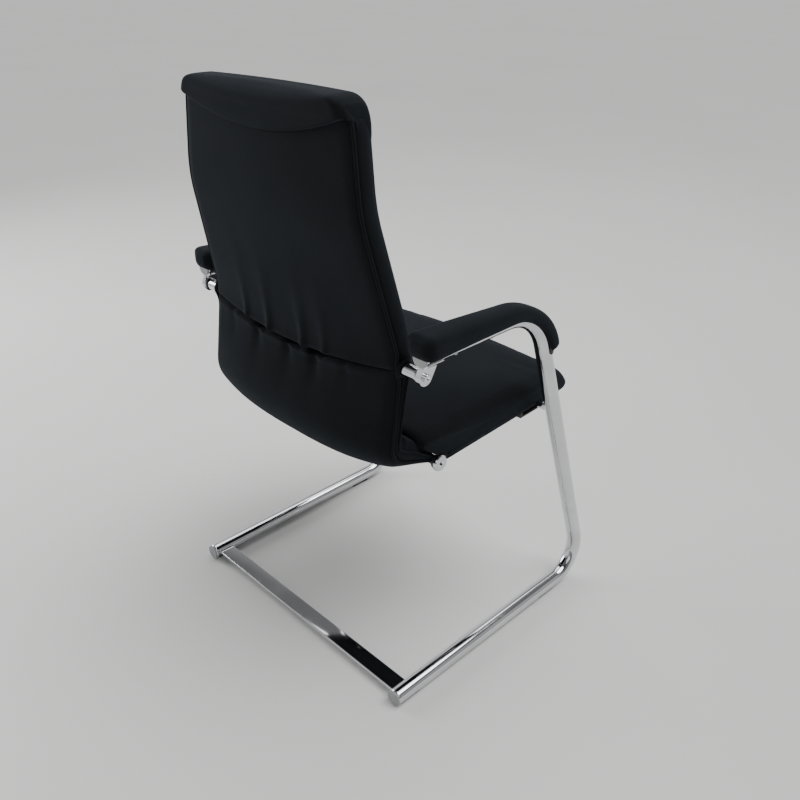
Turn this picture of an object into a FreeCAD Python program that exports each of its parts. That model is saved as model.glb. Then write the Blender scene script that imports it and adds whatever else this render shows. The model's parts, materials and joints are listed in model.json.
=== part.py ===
import FreeCAD, Part
import math
import os
import re
import Sketcher
from FreeCAD import Placement, Rotation, Vector

# Cantilever chair with a reclining back. The chair faces -Y, its right arm is on -X, and Z is up.
# The origin is on the floor in the middle of the frame's outline. Lengths are in millimetres.

SIZES = [
    # Chromed side frames, one bent tube each
    ("track", 552, "distance between the side tubes' centre lines"),
    ("tube_d", 28, "side tube diameter"),
    ("tube_wall", 2.5, "side tube wall"),
    ("runner_rear", 255, "Y of the runner's rear end"),
    ("low_corner", 266, "how far in front of the origin runner and leg lines would meet"),
    ("leg_lean", 18, "lean of the leg towards the rear, degrees"),
    ("low_bend", 60, "bend radius between runner and leg"),
    ("top_bend", 100, "bend radius between leg and arm"),
    ("arm_height", 625, "height of the arm tube's centre line"),
    ("arm_rear", 190, "Y of the arm tube's rear end"),
    ("sole_t", 2, "thickness of the floor glides"),
    ("sole_w", 14, "width of the floor glides"),
    ("sole_len", 44, "length of the floor glides"),
    ("sole_front", -150, "Y of the front floor glides"),
    ("sole_rear", 225, "Y of the rear floor glides"),
    ("cap_t", 3, "thickness of a tube cap"),
    ("cap_edge", 0.8, "chamfer of a tube cap"),
    ("plug_len", 16, "length of a cap's plug in the tube"),
    ("plug_gap", 0.1, "gap between plug and tube"),
    # Cross members
    ("bar_w", 32, "width of the flat rear bar"),
    ("bar_t", 6, "thickness of the flat rear bar"),
    ("bar_round", 2, "edge radius of the flat rear bar"),
    ("bar_y", 231, "Y of the flat rear bar's middle"),
    ("front_d", 16, "front cross tube diameter"),
    ("front_wall", 1.5, "front cross tube wall"),
    ("front_z", 419, "height of the front cross tube"),
    ("pivot_y", 184, "Y of the rear cross tube, the back's pivot"),
    ("pivot_drop", 31, "how far the rear cross tube is below the arm tube"),
    ("pivot_z", "=arm_height - pivot_drop", "height of the rear cross tube"),
    ("rear_d", 20, "rear cross tube diameter"),
    ("rear_wall", 2, "rear cross tube wall"),
    # Arm brackets and their screws
    ("lug_t", 8, "thickness of the arm bracket's plate"),
    ("lug_round", 13, "radius of the plate's lower end"),
    ("lug_front", 158, "Y of the plate's upper front corner"),
    ("saddle_t", 3, "wall of the saddle under the arm tube"),
    ("saddle_drop", 8, "distance from the arm's centre line down to the saddle's edge"),
    ("screw_d", 8, "pivot screw and hinge pin diameter"),
    ("screw_gap", 0.2, "gap between a screw and its hole"),
    ("screw_len", 26, "length of the pivot screw under its head"),
    ("head_d", 13, "pivot screw head diameter"),
    ("head_h", 5, "pivot screw head height"),
    ("hex_w", 5, "hexagon socket across flats"),
    ("hex_depth", 3, "hexagon socket depth"),
    # Arm pads
    ("pad_w", 56, "arm pad width"),
    ("pad_above", 23, "padding above the arm tube"),
    ("pad_below", 3, "how far the pad reaches below the tube's centre line"),
    ("pad_rear", 197, "Y of the pad's rear end"),
    ("pad_drop", 84, "how far the pad's front end is below the arm tube's centre line"),
    ("pad_front_z", "=arm_height - pad_drop", "height of the pad's front end on the leg"),
    ("pad_round", 15, "radius of the pad's upper edges"),
    ("pad_hem", 10, "radius of the pad's lower edges"),
    ("pad_end", 8, "radius round the pad's ends"),
    ("core_t", 3, "wall of the channel under the padding"),
    ("core_end", 8, "how far the channel stops short of the pad's ends"),
    ("small_d", 4, "diameter of the small screws"),
    ("small_head_d", 8, "head diameter of the small screws"),
    ("small_head_h", 2.5, "head height of the small screws"),
    ("pad_screw_one", 120, "Y of the rear pad screw"),
    ("pad_screw_two", 40, "Y of the front pad screw"),
    # Side view of the back: the line of its seams, from the top to the hinge
    ("top_y", 228, "Y of the back's top"),
    ("top_z", 940, "height of the back's top, under the head roll"),
    ("shoulder_y", 232, "Y where the upright part starts to run forward"),
    ("shoulder_z", 815, "height where the upright part starts to run forward"),
    ("crease_y", 187, "Y of the crease at the pivot"),
    ("tail_slope", 20, "slope of the tail under the seat, degrees"),
    ("tail_reach", 100, "length of the tail from its corner to the hinge"),
    ("shoulder_r", 300, "radius at the shoulder"),
    ("crease_r", 60, "radius at the crease"),
    ("tail_r", 36, "radius at the tail's corner"),
    ("cover_end", 12, "how far the rear cover ends behind the hinge"),
    ("shell_end", 22, "how far the shell ends behind the hinge"),
    ("cushion_end", 19, "how far the front cushion ends behind the hinge"),
    # Layers of the back, measured forward from the seam line
    ("back_half_top", 194, "half width at the top"),
    ("back_half", 233, "half width from the crease down"),
    ("shell_gap", 16, "depth of the rear cover, up to the shell"),
    ("shell_t", 7, "shell thickness"),
    ("shell_inset", 16, "how far the shell stops inside the sides"),
    ("rim", 12, "width of the cushion's rim round the rear cover"),
    ("low_gap", 8, "depth of the lower rear cover, up to the shell"),
    ("side_top", 36, "depth of the front cushion's side above the arms"),
    ("side_low", 20, "depth of the front cushion's side below the arms"),
    ("front_crown", 16, "crown of the front cushion"),
    ("low_crown", 10, "crown of the front cushion where the tail begins"),
    ("side_bulge", 5, "how far the cushion's sides swell outwards"),
    ("roll_top", 6, "depth of the rolled edge of the upper rear cover"),
    ("roll_low", 9, "depth of the rolled edge of the lower rear cover"),
    ("roll_w", 22, "width of the rolled edge of the rear covers"),
    ("roll_knee", 0.3, "where that edge is roundest, as a share of its width"),
    ("roll_rise", 0.72, "how far it has risen there, as a share of its height"),
    ("cover_crown", 5, "crown of the rear covers between the rolled edges"),
    ("crease_fill", 3, "extra depth of the covers where they pass over the pivot tube"),
    ("tail_gap", 5, "depth of the tail's cover, up to the shell"),
    ("tail_side", 15, "depth of the front cushion's side at the tail"),
    ("tail_crown", 3, "crown of the front cushion at the tail"),
    ("crease_gap", 2, "gap between the two rear covers in the crease"),
    # Head roll
    ("head_half", 205, "half width of the head roll"),
    ("head_front", 190, "Y of the head roll's front at its ends"),
    ("head_bow", 16, "how much further forward that front is in the middle"),
    ("head_rear", 245, "Y of the lip that hangs over the rear"),
    ("head_base", 903, "height of the head roll's lower front edge"),
    ("head_top", 969, "height of the head roll's top"),
    ("head_lip", 944, "height of the lip's edge at its ends"),
    ("head_dip", 35, "how much lower that edge is in the middle"),
    ("head_round", 22, "rounding of the top's front edge"),
    ("lip_round", 16, "rounding of the top's rear edge"),
    ("lip_edge", 6, "rounding of the lip's lower edge"),
    # Pivot blocks on the shell
    ("block_x", 150, "distance of the pivot blocks from the middle"),
    ("block_w", 34, "width of a pivot block"),
    ("block_h", 48, "height of a pivot block"),
    ("block_r", 14.5, "radius of a pivot block round the tube"),
    ("block_front", 170, "Y where the blocks end in front, hollowed to seat on the shell"),
    ("block_screw", 19.5, "distance of the block screws from the pivot"),
    ("wood_screw", 9, "length of the wood screws under their heads"),
    ("long_screw", 15, "length of the block screws under their heads"),
    ("bush_wall", 1.5, "wall of a pivot bush"),
    ("run_gap", 0.05, "radial running clearance of tube and pins in their bushes"),
    ("soft_gap", 0.4, "clearance between padding and metal that moves past it"),
    # Hinge between tail and seat
    ("hinge_y", 118, "Y of the hinge"),
    ("hinge_z", 408, "height of the hinge"),
    ("eye_r", 9.5, "radius of the hinge eyes"),
    ("arm_x", 205, "distance of the tail arms from the middle"),
    ("arm_t", 5, "thickness of tail arms and seat ears"),
    ("arm_len", 66, "length of the tail arms"),
    ("arm_high", 11, "height of a tail arm's bar"),
    ("foot_w", 30, "width of the feet of arms and ears"),
    ("foot_start", 26, "how far a tail arm's foot starts behind the hinge"),
    ("foot_screw", 10, "distance of the screws from the ends of a tail arm's foot"),
    ("foot_t", 3, "thickness of the feet of arms and ears"),
    ("flange_t", 1.5, "thickness of the bush collar between arm and ear"),
    ("disc_d", 28, "diameter of the hinge disc"),
    ("disc_t", 5, "thickness of the hinge disc"),
    ("disc_edge", 1.6, "bevel of the hinge disc"),
    ("disc_x", 244.5, "distance of the disc's inner face from the middle"),
    ("pin_over", 4, "how far the hinge pin stands out of the seat ear"),
    ("washer_t", 6.5, "thickness of the washer behind the disc"),
    ("washer_d", 24, "diameter of the washer"),
    ("collar_d", 16, "diameter of the washer's collar, which reaches to the tail arm"),
    ("disc_hex", 8, "hexagon socket of the hinge disc across flats"),
    # Seat
    ("seat_half", 243, "half width of the seat"),
    ("seat_slope", 2.5, "slope of the seat's underside, degrees"),
    ("seat_nose", -222, "Y of the seat's front"),
    ("seat_back", 157, "Y of the seat cushion's rear end"),
    ("seat_top", 471, "height of the cushion's top at the sides"),
    ("seat_crown", 9, "crown of the seat from side to side"),
    ("seat_swell", 3, "crown of the seat from front to rear"),
    ("seat_edge", 14, "rounding of the seat's top rear edge"),
    ("seat_lift", 0.4, "rise of the lower edge for each millimetre drawn in"),
    ("nose_over", 36, "length of the nose's rounding above"),
    ("nose_under", 20, "length of the nose's rounding below"),
    ("nose_knee", 0.42, "height of the foremost line of the nose, as a share of the seat's"),
    ("wedge_y", 100, "Y where the underside turns up over the tail"),
    ("pan_turn", 42.5, "angle between the pan and its upturned rear end, degrees"),
    ("pan_tail", 48, "length of the pan's upturned rear end"),
    ("pan_front", -188, "Y of the pan's front edge"),
    ("pan_bend", 96, "Y of the pan's bend"),
    ("pan_half", 226, "half width of the pan"),
    ("skirt", 18.5, "how far the seat's edge hangs below the pan"),
    ("skirt_w", 24, "width of that edge"),
    ("pan_t", 9, "thickness of the seat pan"),
    ("seat_bow", 6, "how far the seat's front and rear bow outwards in the middle"),
    ("seat_draw", 7, "how far the cushion's edges are drawn in at the sides"),
    # Sliding guides on the front cross tube
    ("travel", 32.2, "way of the front cross tube along the guides"),
    ("drop", 1.4, "how far the tube sinks in the guides at full recline"),
    ("roof_gap", 1, "gap over the front cross tube at rest"),
    ("slot_gap", 0.4, "gap at the ends and under the tube"),
    ("guide_roof", 5, "thickness of the guide above the tube"),
    ("guide_wall", 6, "thickness of the guide's end walls"),
    ("guide_lip", 3, "thickness of the guide's lower lip"),
    ("guide_in", 200, "distance of the guide's inner side from the middle"),
    ("guide_out", 242, "distance of the guide's outer side from the middle"),
    ("wing_w", 14, "width of a guide's wing, which is screwed to the pan"),
    ("wing_t", 3, "thickness of a guide's wing"),
    ("wing_over", 6, "how far a guide's wing stands out at its ends"),
    ("wing_screw", 5, "distance of the screws from the ends of a guide's wing"),
    ("ear_front", 42, "Y of the seat ear's front end"),
    ("ear_rear", 92, "Y of the rear end of the seat ear's foot"),
]

doc = FreeCAD.newDocument("cantilever_chair")
sheet = doc.addObject("Spreadsheet::Sheet", "sizes")
ALIASES = set()
for row, (alias, value, note) in enumerate(SIZES, 1):
    sheet.set("A%d" % row, note)
    sheet.set("B%d" % row, str(value))
    sheet.setAlias("B%d" % row, alias)
    ALIASES.add(alias)
doc.recompute()

# Derived places, as expressions of the sizes
AXIS_Z = "(sole_t + tube_d / 2)"
LEG_Y = "(-low_corner + (%s - " + AXIS_Z + ") * tan(leg_lean * 1 deg))"
FRONT_Y = LEG_Y % "front_z"
SEAT_PLANE = "(front_z + front_d / 2 + roof_gap + guide_roof)"
SIDES = (("left", 1), ("right", -1))

nodes = {}


def size(alias):
    """A size of the sheet as a number."""
    return float(sheet.get(alias))


def formula(text):
    """An expression in which each size is read from the sheet."""
    return re.sub(r"[A-Za-z_]\w*", lambda word: "sizes." + word.group() if word.group() in ALIASES
                  else word.group(), str(text))


def bind(thing, **sizes):
    for name, text in sizes.items():
        thing.setExpression(name, formula(text))
    return thing


def place(thing, x="0", y="0", z="0", turn=None, angle=None):
    """Placement from three expressions, with an optional turn about an axis."""
    if turn is not None:
        thing.Placement = Placement(Vector(), Rotation(turn, angle))
    for name, text in zip("xyz", (x, y, z)):
        thing.setExpression("Placement.Base." + name, formula(text))
    return thing


def keep(label, thing):
    """Give a finished sub-part its label."""
    thing.Label = label
    nodes[label] = thing
    return thing


def new_body(name):
    return doc.addObject("PartDesign::Body", name)


def new_sketch(body, name, role, offset="0"):
    """A sketch on one of the body's own origin planes, moved along the plane's normal."""
    sketch = body.newObject("Sketcher::SketchObject", name)
    plane = next(item for item in body.Origin.OriginFeatures if item.Role == role)
    sketch.AttachmentSupport = (plane, [""])
    sketch.MapMode = "FlatFace"
    sketch.setExpression("AttachmentOffset.Base.z", formula(offset))
    return sketch


def pin_point(sketch, shape, point, x, y):
    """Fix a point of a sketch at two expressions."""
    now = sketch.getPoint(shape, point)
    for kind, text, value in (("DistanceX", x, now.x), ("DistanceY", y, now.y)):
        index = sketch.addConstraint(Sketcher.Constraint(kind, -1, 1, shape, point, value))
        sketch.setExpression("Constraints[%d]" % index, formula(text))


def set_radius(sketch, shape, text):
    index = sketch.addConstraint(Sketcher.Constraint("Radius", shape, sketch.Geometry[shape].Radius))
    sketch.setExpression("Constraints[%d]" % index, formula(text))


def polygon(sketch, corners):
    """Closed straight outline whose corners are pairs of expressions."""
    count = len(corners)
    first = sketch.GeometryCount
    for k in range(count):
        angle = 2 * math.pi * k / count
        ahead = 2 * math.pi * (k + 1) / count
        sketch.addGeometry(Part.LineSegment(Vector(math.cos(angle), math.sin(angle), 0),
                                            Vector(math.cos(ahead), math.sin(ahead), 0)))
    for k in range(count):
        follow = first + (k + 1) % count
        sketch.addConstraint(Sketcher.Constraint("Coincident", first + k, 2, follow, 1))
    for k, (x, y) in enumerate(corners):
        pin_point(sketch, first + k, 1, x, y)


def ring(sketch, x, y, radius):
    index = sketch.addGeometry(Part.Circle(Vector(1, 1, 0), Vector(0, 0, 1), 5))
    pin_point(sketch, index, 3, x, y)
    set_radius(sketch, index, radius)


def pad(body, sketch, length, midplane=False, backwards=False):
    feature = body.newObject("PartDesign::Pad", "Pad")
    feature.Profile = sketch
    bind(feature, Length=length)
    feature.Midplane = midplane
    feature.Reversed = backwards
    return feature


def hex_corners(width):
    """Corners of a hexagon of a width across flats, as expressions."""
    return [("%s / 2 / cos(30 deg) * cos(%d deg)" % (width, 60 * k),
             "%s / 2 / cos(30 deg) * sin(%d deg)" % (width, 60 * k)) for k in range(6)]


TURNS = {"+x": (Vector(0, 1, 0), 90), "-x": (Vector(0, 1, 0), -90), "+y": (Vector(1, 0, 0), -90),
         "+z": (Vector(0, 0, 1), 0), "-z": (Vector(1, 0, 0), 180)}


def turned(name, outline, towards, x, y, z, socket=None):
    """A turned piece: an outline of radius and height pairs, spun about the piece's own axis. A socket is
    a hexagon's width, its depth and the height of the face that it is cut in."""
    body = new_body(name)
    sketch = new_sketch(body, name + "_outline", "XZ_Plane")
    polygon(sketch, outline)
    spin = body.newObject("PartDesign::Revolution", name + "_spin")
    spin.Profile = sketch
    spin.ReferenceAxis = (sketch, ["V_Axis"])
    spin.Angle = 360
    if socket:
        width, depth, face = socket
        hexagon = new_sketch(body, name + "_socket", "XY_Plane", face)
        polygon(hexagon, hex_corners(width))
        pocket = body.newObject("PartDesign::Pocket", name + "_pocket")
        pocket.Profile = hexagon
        bind(pocket, Length=depth)
    turn, angle = TURNS[towards]
    return place(body, x, y, z, turn, angle)


def cylinder(name, radius, height, towards, x, y, z):
    thing = bind(doc.addObject("Part::Cylinder", name), Radius=radius, Height=height)
    turn, angle = TURNS[towards]
    return place(thing, x, y, z, turn, angle)


def box(name, length, width, height, x, y, z, tilt=None):
    """A box from its lower corner, or turned about X by an expression in degrees."""
    thing = bind(doc.addObject("Part::Box", name), Length=length, Width=width, Height=height)
    if tilt is not None:
        thing.Placement = Placement(Vector(), Rotation(Vector(1, 0, 0), 1))
        thing.setExpression("Placement.Rotation.Angle", formula(tilt + " * 1 deg"))
    return place(thing, x, y, z)


def fuse(name, *things):
    thing = doc.addObject("Part::MultiFuse", name)
    thing.Shapes = list(things)
    return thing


def cut(name, base, *tools):
    """Take the tools off one after another."""
    for tool in tools:
        thing = doc.addObject("Part::Cut", name)
        thing.Base = base
        thing.Tool = tool
        base = thing
    return base


def group(label, things):
    """Separate identical solids under one label."""
    thing = doc.addObject("Part::Compound", label)
    thing.Links = things
    return keep(label, thing)


def across(sign, text):
    """An X expression on one side of the chair."""
    return "%d * (%s)" % (sign, text)


# Side frames

def tube_path(body, name, sign, rear, runner):
    """Centre line of a side frame from the arm's rear, over the top bend to the leg, and on to the runner's
    rear end or, without a runner, to the arm pad's front end."""
    sketch = new_sketch(body, name, "YZ_Plane", across(sign, "track / 2"))
    lean = math.radians(size("leg_lean"))
    axis = size("sole_t") + size("tube_d") / 2
    top = size("arm_height")
    foot = -size("low_corner")
    head = foot + (top - axis) * math.tan(lean)
    bend = size("top_bend")
    arm_end = Vector(head + bend * math.tan(math.pi / 4 - lean / 2), top, 0)
    leg_start = Vector(head - bend * 0.7 * math.sin(lean), top - bend * 0.7, 0)
    centre = Vector(arm_end.x, top - bend, 0)
    sketch.addGeometry(Part.LineSegment(Vector(size("arm_rear"), top, 0), arm_end))
    sketch.addGeometry(Part.ArcOfCircle(Part.Circle(centre, Vector(0, 0, 1), bend), math.pi / 2,
                                        math.pi - lean))
    leg_end = Vector(foot + 80 * math.sin(lean), axis + 80, 0)
    if not runner:
        leg_end = Vector(head - 90 * math.sin(lean), top - 90, 0)
    sketch.addGeometry(Part.LineSegment(leg_start, leg_end))
    sketch.addConstraint(Sketcher.Constraint("Tangent", 0, 2, 1, 1))
    sketch.addConstraint(Sketcher.Constraint("Tangent", 1, 2, 2, 1))
    sketch.addConstraint(Sketcher.Constraint("Horizontal", 0))
    pin_point(sketch, 0, 1, rear, "arm_height")
    set_radius(sketch, 1, "top_bend")
    corner = sketch.addGeometry(Part.Point(Vector(foot, axis, 0)), True)
    pin_point(sketch, corner, 1, "-low_corner", AXIS_Z)
    sketch.addConstraint(Sketcher.Constraint("PointOnObject", corner, 1, 2))
    upper = sketch.addGeometry(Part.Point(Vector(head, top, 0)), True)
    pin_point(sketch, upper, 1, LEG_Y % "arm_height", "arm_height")
    sketch.addConstraint(Sketcher.Constraint("PointOnObject", upper, 1, 2))
    if not runner:
        index = sketch.addConstraint(Sketcher.Constraint("DistanceY", -1, 1, 2, 2, leg_end.y))
        sketch.setExpression("Constraints[%d]" % index, formula("pad_front_z"))
        return sketch
    radius = size("low_bend")
    floor_start = foot + radius * math.tan(math.pi / 4 + lean / 2)
    arc = Part.ArcOfCircle(Part.Circle(Vector(floor_start, axis + radius, 0), Vector(0, 0, 1), radius),
                           math.pi - lean, 3 * math.pi / 2)
    low = sketch.addGeometry(arc)
    floor = sketch.addGeometry(Part.LineSegment(Vector(floor_start, axis, 0),
                                                Vector(size("runner_rear"), axis, 0)))
    sketch.addConstraint(Sketcher.Constraint("Tangent", 2, 2, low, 1))
    sketch.addConstraint(Sketcher.Constraint("Tangent", low, 2, floor, 1))
    sketch.addConstraint(Sketcher.Constraint("Horizontal", floor))
    set_radius(sketch, low, "low_bend")
    pin_point(sketch, floor, 2, "runner_rear", AXIS_Z)
    return sketch


def pipe(body, name, profile, path):
    feature = body.newObject("PartDesign::AdditivePipe", name)
    feature.Profile = (profile, [""])
    feature.Spine = (path, [""])
    return feature


def rounded_box(sketch, left, right, low, high, low_r, high_r, guess):
    """Outline of a box with rounded corners. Sides and radii are expressions, and the guess is a middle
    and half sizes near the final ones, from which the sketch is solved."""
    at_x, at_y, half_x, half_y = guess
    corners = ((right, high, -1, -1, high_r), (left, high, 1, -1, high_r),
               (left, low, 1, 1, low_r), (right, low, -1, 1, low_r))
    for k, (x, y, in_x, in_y, radius) in enumerate(corners):
        r = size(radius)
        centre = Vector(at_x - in_x * (half_x - r), at_y - in_y * (half_y - r), 0)
        start = math.radians(90 * k)
        arc = Part.ArcOfCircle(Part.Circle(centre, Vector(0, 0, 1), r), start, start + math.pi / 2)
        sketch.addGeometry(arc)
    arcs = [sketch.Geometry[k] for k in range(4)]
    for k in range(4):
        sketch.addGeometry(Part.LineSegment(arcs[k].EndPoint, arcs[(k + 1) % 4].StartPoint))
    for k in range(4):
        sketch.addConstraint(Sketcher.Constraint("Tangent", k, 2, 4 + k, 1))
        sketch.addConstraint(Sketcher.Constraint("Tangent", 4 + k, 2, (k + 1) % 4, 1))
    for k, (x, y, in_x, in_y, radius) in enumerate(corners):
        pin_point(sketch, k, 3, "(%s) + %d * %s" % (x, in_x, radius), "(%s) + %d * %s" % (y, in_y, radius))
        set_radius(sketch, k, radius)


def pick_edges(shape, wanted):
    return ["Edge%d" % (k + 1) for k, edge in enumerate(shape.Edges) if wanted(edge)]


def fillet(body, base, wanted, radius):
    """Round those edges of a feature that wanted() picks."""
    doc.recompute()
    feature = body.newObject("PartDesign::Fillet", "Round")
    feature.Base = (base, pick_edges(base.Shape, wanted))
    return bind(feature, Radius=radius)


def half_ring_section(sketch, sign):
    """Upper half of a ring round the arm tube."""
    x = across(sign, "track / 2")
    at = sign * size("track") / 2
    high = size("arm_height")
    inner = size("tube_d") / 2
    outer = inner + size("core_t")
    for radius in (inner, outer):
        sketch.addGeometry(Part.ArcOfCircle(Part.Circle(Vector(at, high, 0), Vector(0, 0, 1), radius),
                                            0, math.pi))
    sketch.addGeometry(Part.LineSegment(Vector(at + inner, high, 0), Vector(at + outer, high, 0)))
    sketch.addGeometry(Part.LineSegment(Vector(at - inner, high, 0), Vector(at - outer, high, 0)))
    for arc, end, line, tip in ((0, 1, 2, 1), (1, 1, 2, 2), (0, 2, 3, 1), (1, 2, 3, 2)):
        sketch.addConstraint(Sketcher.Constraint("Coincident", arc, end, line, tip))
    sketch.addConstraint(Sketcher.Constraint("Horizontal", 2))
    sketch.addConstraint(Sketcher.Constraint("Horizontal", 3))
    for arc in (0, 1):
        pin_point(sketch, arc, 3, x, "arm_height")
    set_radius(sketch, 0, "tube_d / 2")
    set_radius(sketch, 1, "tube_d / 2 + core_t")


def side_frame(side, sign):
    x = across(sign, "track / 2")
    body = new_body("tube_" + side)
    path = tube_path(body, "tube_path_" + side, sign, "arm_rear", True)
    section = new_sketch(body, "tube_section_" + side, "XZ_Plane", "-arm_rear")
    ring(section, x, "arm_height", "tube_d / 2")
    ring(section, x, "arm_height", "tube_d / 2 - tube_wall")
    pipe(body, "tube_pipe_" + side, section, path)
    # Each pad screw passes both walls, and its head bears on the lower one
    holes = []
    for number in ("one", "two"):
        y = "pad_screw_" + number
        holes.append(cylinder("pad_hole_%s_%s" % (number, side), "small_d / 2 + screw_gap / 2",
                              "tube_d", "+z", x, y, "arm_height - tube_d / 2"))
    keep("side_tube_" + side, cut("side_tube_cut_" + side, body, *holes))
    # Solid rods in the places of arm and leg, which trim what is welded to them
    arm = cylinder("arm_rod_" + side, "tube_d / 2", "100", "+y", x, "arm_rear - 90", "arm_height")
    leg = bind(doc.addObject("Part::Cylinder", "leg_rod_" + side), Radius="tube_d / 2", Height="200")
    leg.Placement = Placement(Vector(), Rotation(Vector(-1, 0, 0), 1))
    leg.setExpression("Placement.Rotation.Angle", formula("leg_lean * 1 deg"))
    place(leg, x, LEG_Y % "(front_z - 100 * cos(leg_lean * 1 deg))",
          "front_z - 100 * cos(leg_lean * 1 deg)")
    return arm, leg


def tube_cap(label, x, y, z):
    plug = "tube_d / 2 - tube_wall - plug_gap"
    keep(label, turned(label, [
        ("0", "-plug_len"), (plug, "-plug_len"), (plug, "0"), ("tube_d / 2", "0"),
        ("tube_d / 2", "cap_t - cap_edge"), ("tube_d / 2 - cap_edge", "cap_t"), ("0", "cap_t")],
        "+y", x, y, z))


def arm_bracket(side, sign, arm):
    """Lug under the arm's rear end: a plate that narrows down to the pivot, and a saddle on the tube."""
    body = new_body("lug_" + side)
    sketch = new_sketch(body, "lug_outline_" + side, "YZ_Plane", across(sign, "track / 2"))
    y, z, r = size("pivot_y"), size("pivot_z"), size("lug_round")
    top = size("arm_height") - size("tube_d") / 2 + 2
    front, rear = size("lug_front"), size("arm_rear")
    sketch.addGeometry(Part.LineSegment(Vector(rear, top, 0), Vector(front, top, 0)))
    sketch.addGeometry(Part.LineSegment(Vector(front, top, 0), Vector(y - r, z - 3, 0)))
    sketch.addGeometry(Part.ArcOfCircle(Part.Circle(Vector(y, z, 0), Vector(0, 0, 1), r),
                                        math.radians(190), math.radians(372)))
    sketch.addGeometry(Part.LineSegment(Vector(y + r, z + 2, 0), Vector(rear, top, 0)))
    for line, follow in ((0, 1), (3, 0)):
        sketch.addConstraint(Sketcher.Constraint("Coincident", line, 2, follow, 1))
    sketch.addConstraint(Sketcher.Constraint("Tangent", 1, 2, 2, 1))
    sketch.addConstraint(Sketcher.Constraint("Tangent", 2, 2, 3, 1))
    pin_point(sketch, 2, 3, "pivot_y", "pivot_z")
    set_radius(sketch, 2, "lug_round")
    pin_point(sketch, 0, 1, "arm_rear", "arm_height - tube_d / 2 + 2")
    pin_point(sketch, 1, 1, "lug_front", "arm_height - tube_d / 2 + 2")
    ring(sketch, "pivot_y", "pivot_z", "screw_d / 2 + screw_gap")
    pad(body, sketch, "lug_t", midplane=True)
    x = across(sign, "track / 2")
    length = "arm_rear - lug_front"
    saddle = cylinder("saddle_" + side, "tube_d / 2 + saddle_t", length, "+y", x, "lug_front",
                      "arm_height")
    above = box("saddle_off_" + side, "track", "track", "track", across(sign, "track / 2") + " - track / 2",
                "0", "arm_height - saddle_drop")
    lug = cut("saddle_cut_" + side, saddle, above)
    keep("arm_bracket_" + side, cut("bracket_cut_" + side, fuse("bracket_" + side, body, lug), arm))


def arm_pad(side, sign):
    core = new_body("core_" + side)
    path = tube_path(core, "core_path_" + side, sign, "pad_rear - core_end", False)
    section = new_sketch(core, "core_section_" + side, "XZ_Plane", "-(pad_rear - core_end)")
    half_ring_section(section, sign)
    pipe(core, "core_pipe_" + side, section, path)
    x = across(sign, "track / 2")
    holes = [cylinder("core_hole_%s_%s" % (number, side), "small_d / 2", "tube_d + core_t", "+z", x,
                      "pad_screw_" + number, "arm_height - tube_d / 2") for number in ("one", "two")]
    keep("arm_pad_core_" + side, cut("core_cut_" + side, core, *holes))
    body = new_body("pad_" + side)
    path = tube_path(body, "pad_path_" + side, sign, "pad_rear", False)
    section = new_sketch(body, "pad_section_" + side, "XZ_Plane", "-pad_rear")
    high = "arm_height + tube_d / 2 + pad_above"
    tall = size("tube_d") / 2 + size("pad_above") + size("pad_below")
    middle = size("arm_height") - size("pad_below") + tall / 2
    rounded_box(section, x + " - pad_w / 2", x + " + pad_w / 2", "arm_height - pad_below", high,
                "pad_hem", "pad_round", (sign * size("track") / 2, middle, size("pad_w") / 2, tall / 2))
    base = pipe(body, "pad_pipe_" + side, section, path)
    lean = math.radians(size("leg_lean"))

    def on_end(edge):
        """Edges of the upright rear end, and of the front end square to the leg."""
        ys = [vertex.Y for vertex in edge.Vertexes]
        downs = [vertex.Z * math.cos(lean) + vertex.Y * math.sin(lean) for vertex in edge.Vertexes]
        over_runner = size("pad_front_z") - size("sole_t") - size("tube_d") / 2
        front_y = -size("low_corner") + over_runner * math.tan(lean)
        end = size("pad_front_z") * math.cos(lean) + front_y * math.sin(lean)
        at_rear = all(abs(y - size("pad_rear")) < 0.01 for y in ys)
        return at_rear or all(abs(down - end) < 0.05 for down in downs)

    fillet(body, base, on_end, "pad_end")
    inside = new_body("pad_inside_" + side)
    path = tube_path(inside, "inside_path_" + side, sign, "pad_rear + 1", True)
    section = new_sketch(inside, "inside_section_" + side, "XZ_Plane", "-(pad_rear + 1)")
    ring(section, x, "arm_height", "tube_d / 2")
    pipe(inside, "inside_pipe_" + side, section, path)
    keep("arm_pad_" + side, cut("pad_cut_" + side, body, inside, core))




def screw(name, shank, length, head, head_h, towards, x, y, z, socket=None):
    """Screw whose head sits on a face at its origin and whose shank runs back from it."""
    return turned(name, [
        ("0", "-(%s)" % length), (shank + " / 2", "-(%s)" % length), (shank + " / 2", "0"),
        (head + " / 2", "0"), (head + " / 2", "%s - 0.8" % head_h), (head + " / 2 - 0.8", head_h),
        ("0", head_h)], towards, x, y, z, socket)


def tube(name, outer, inner, low, high, towards, x, y, z):
    """Plain round sleeve between two heights of its own axis."""
    return turned(name, [(inner, low), (outer, low), (outer, high), (inner, high)], towards, x, y, z)


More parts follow.
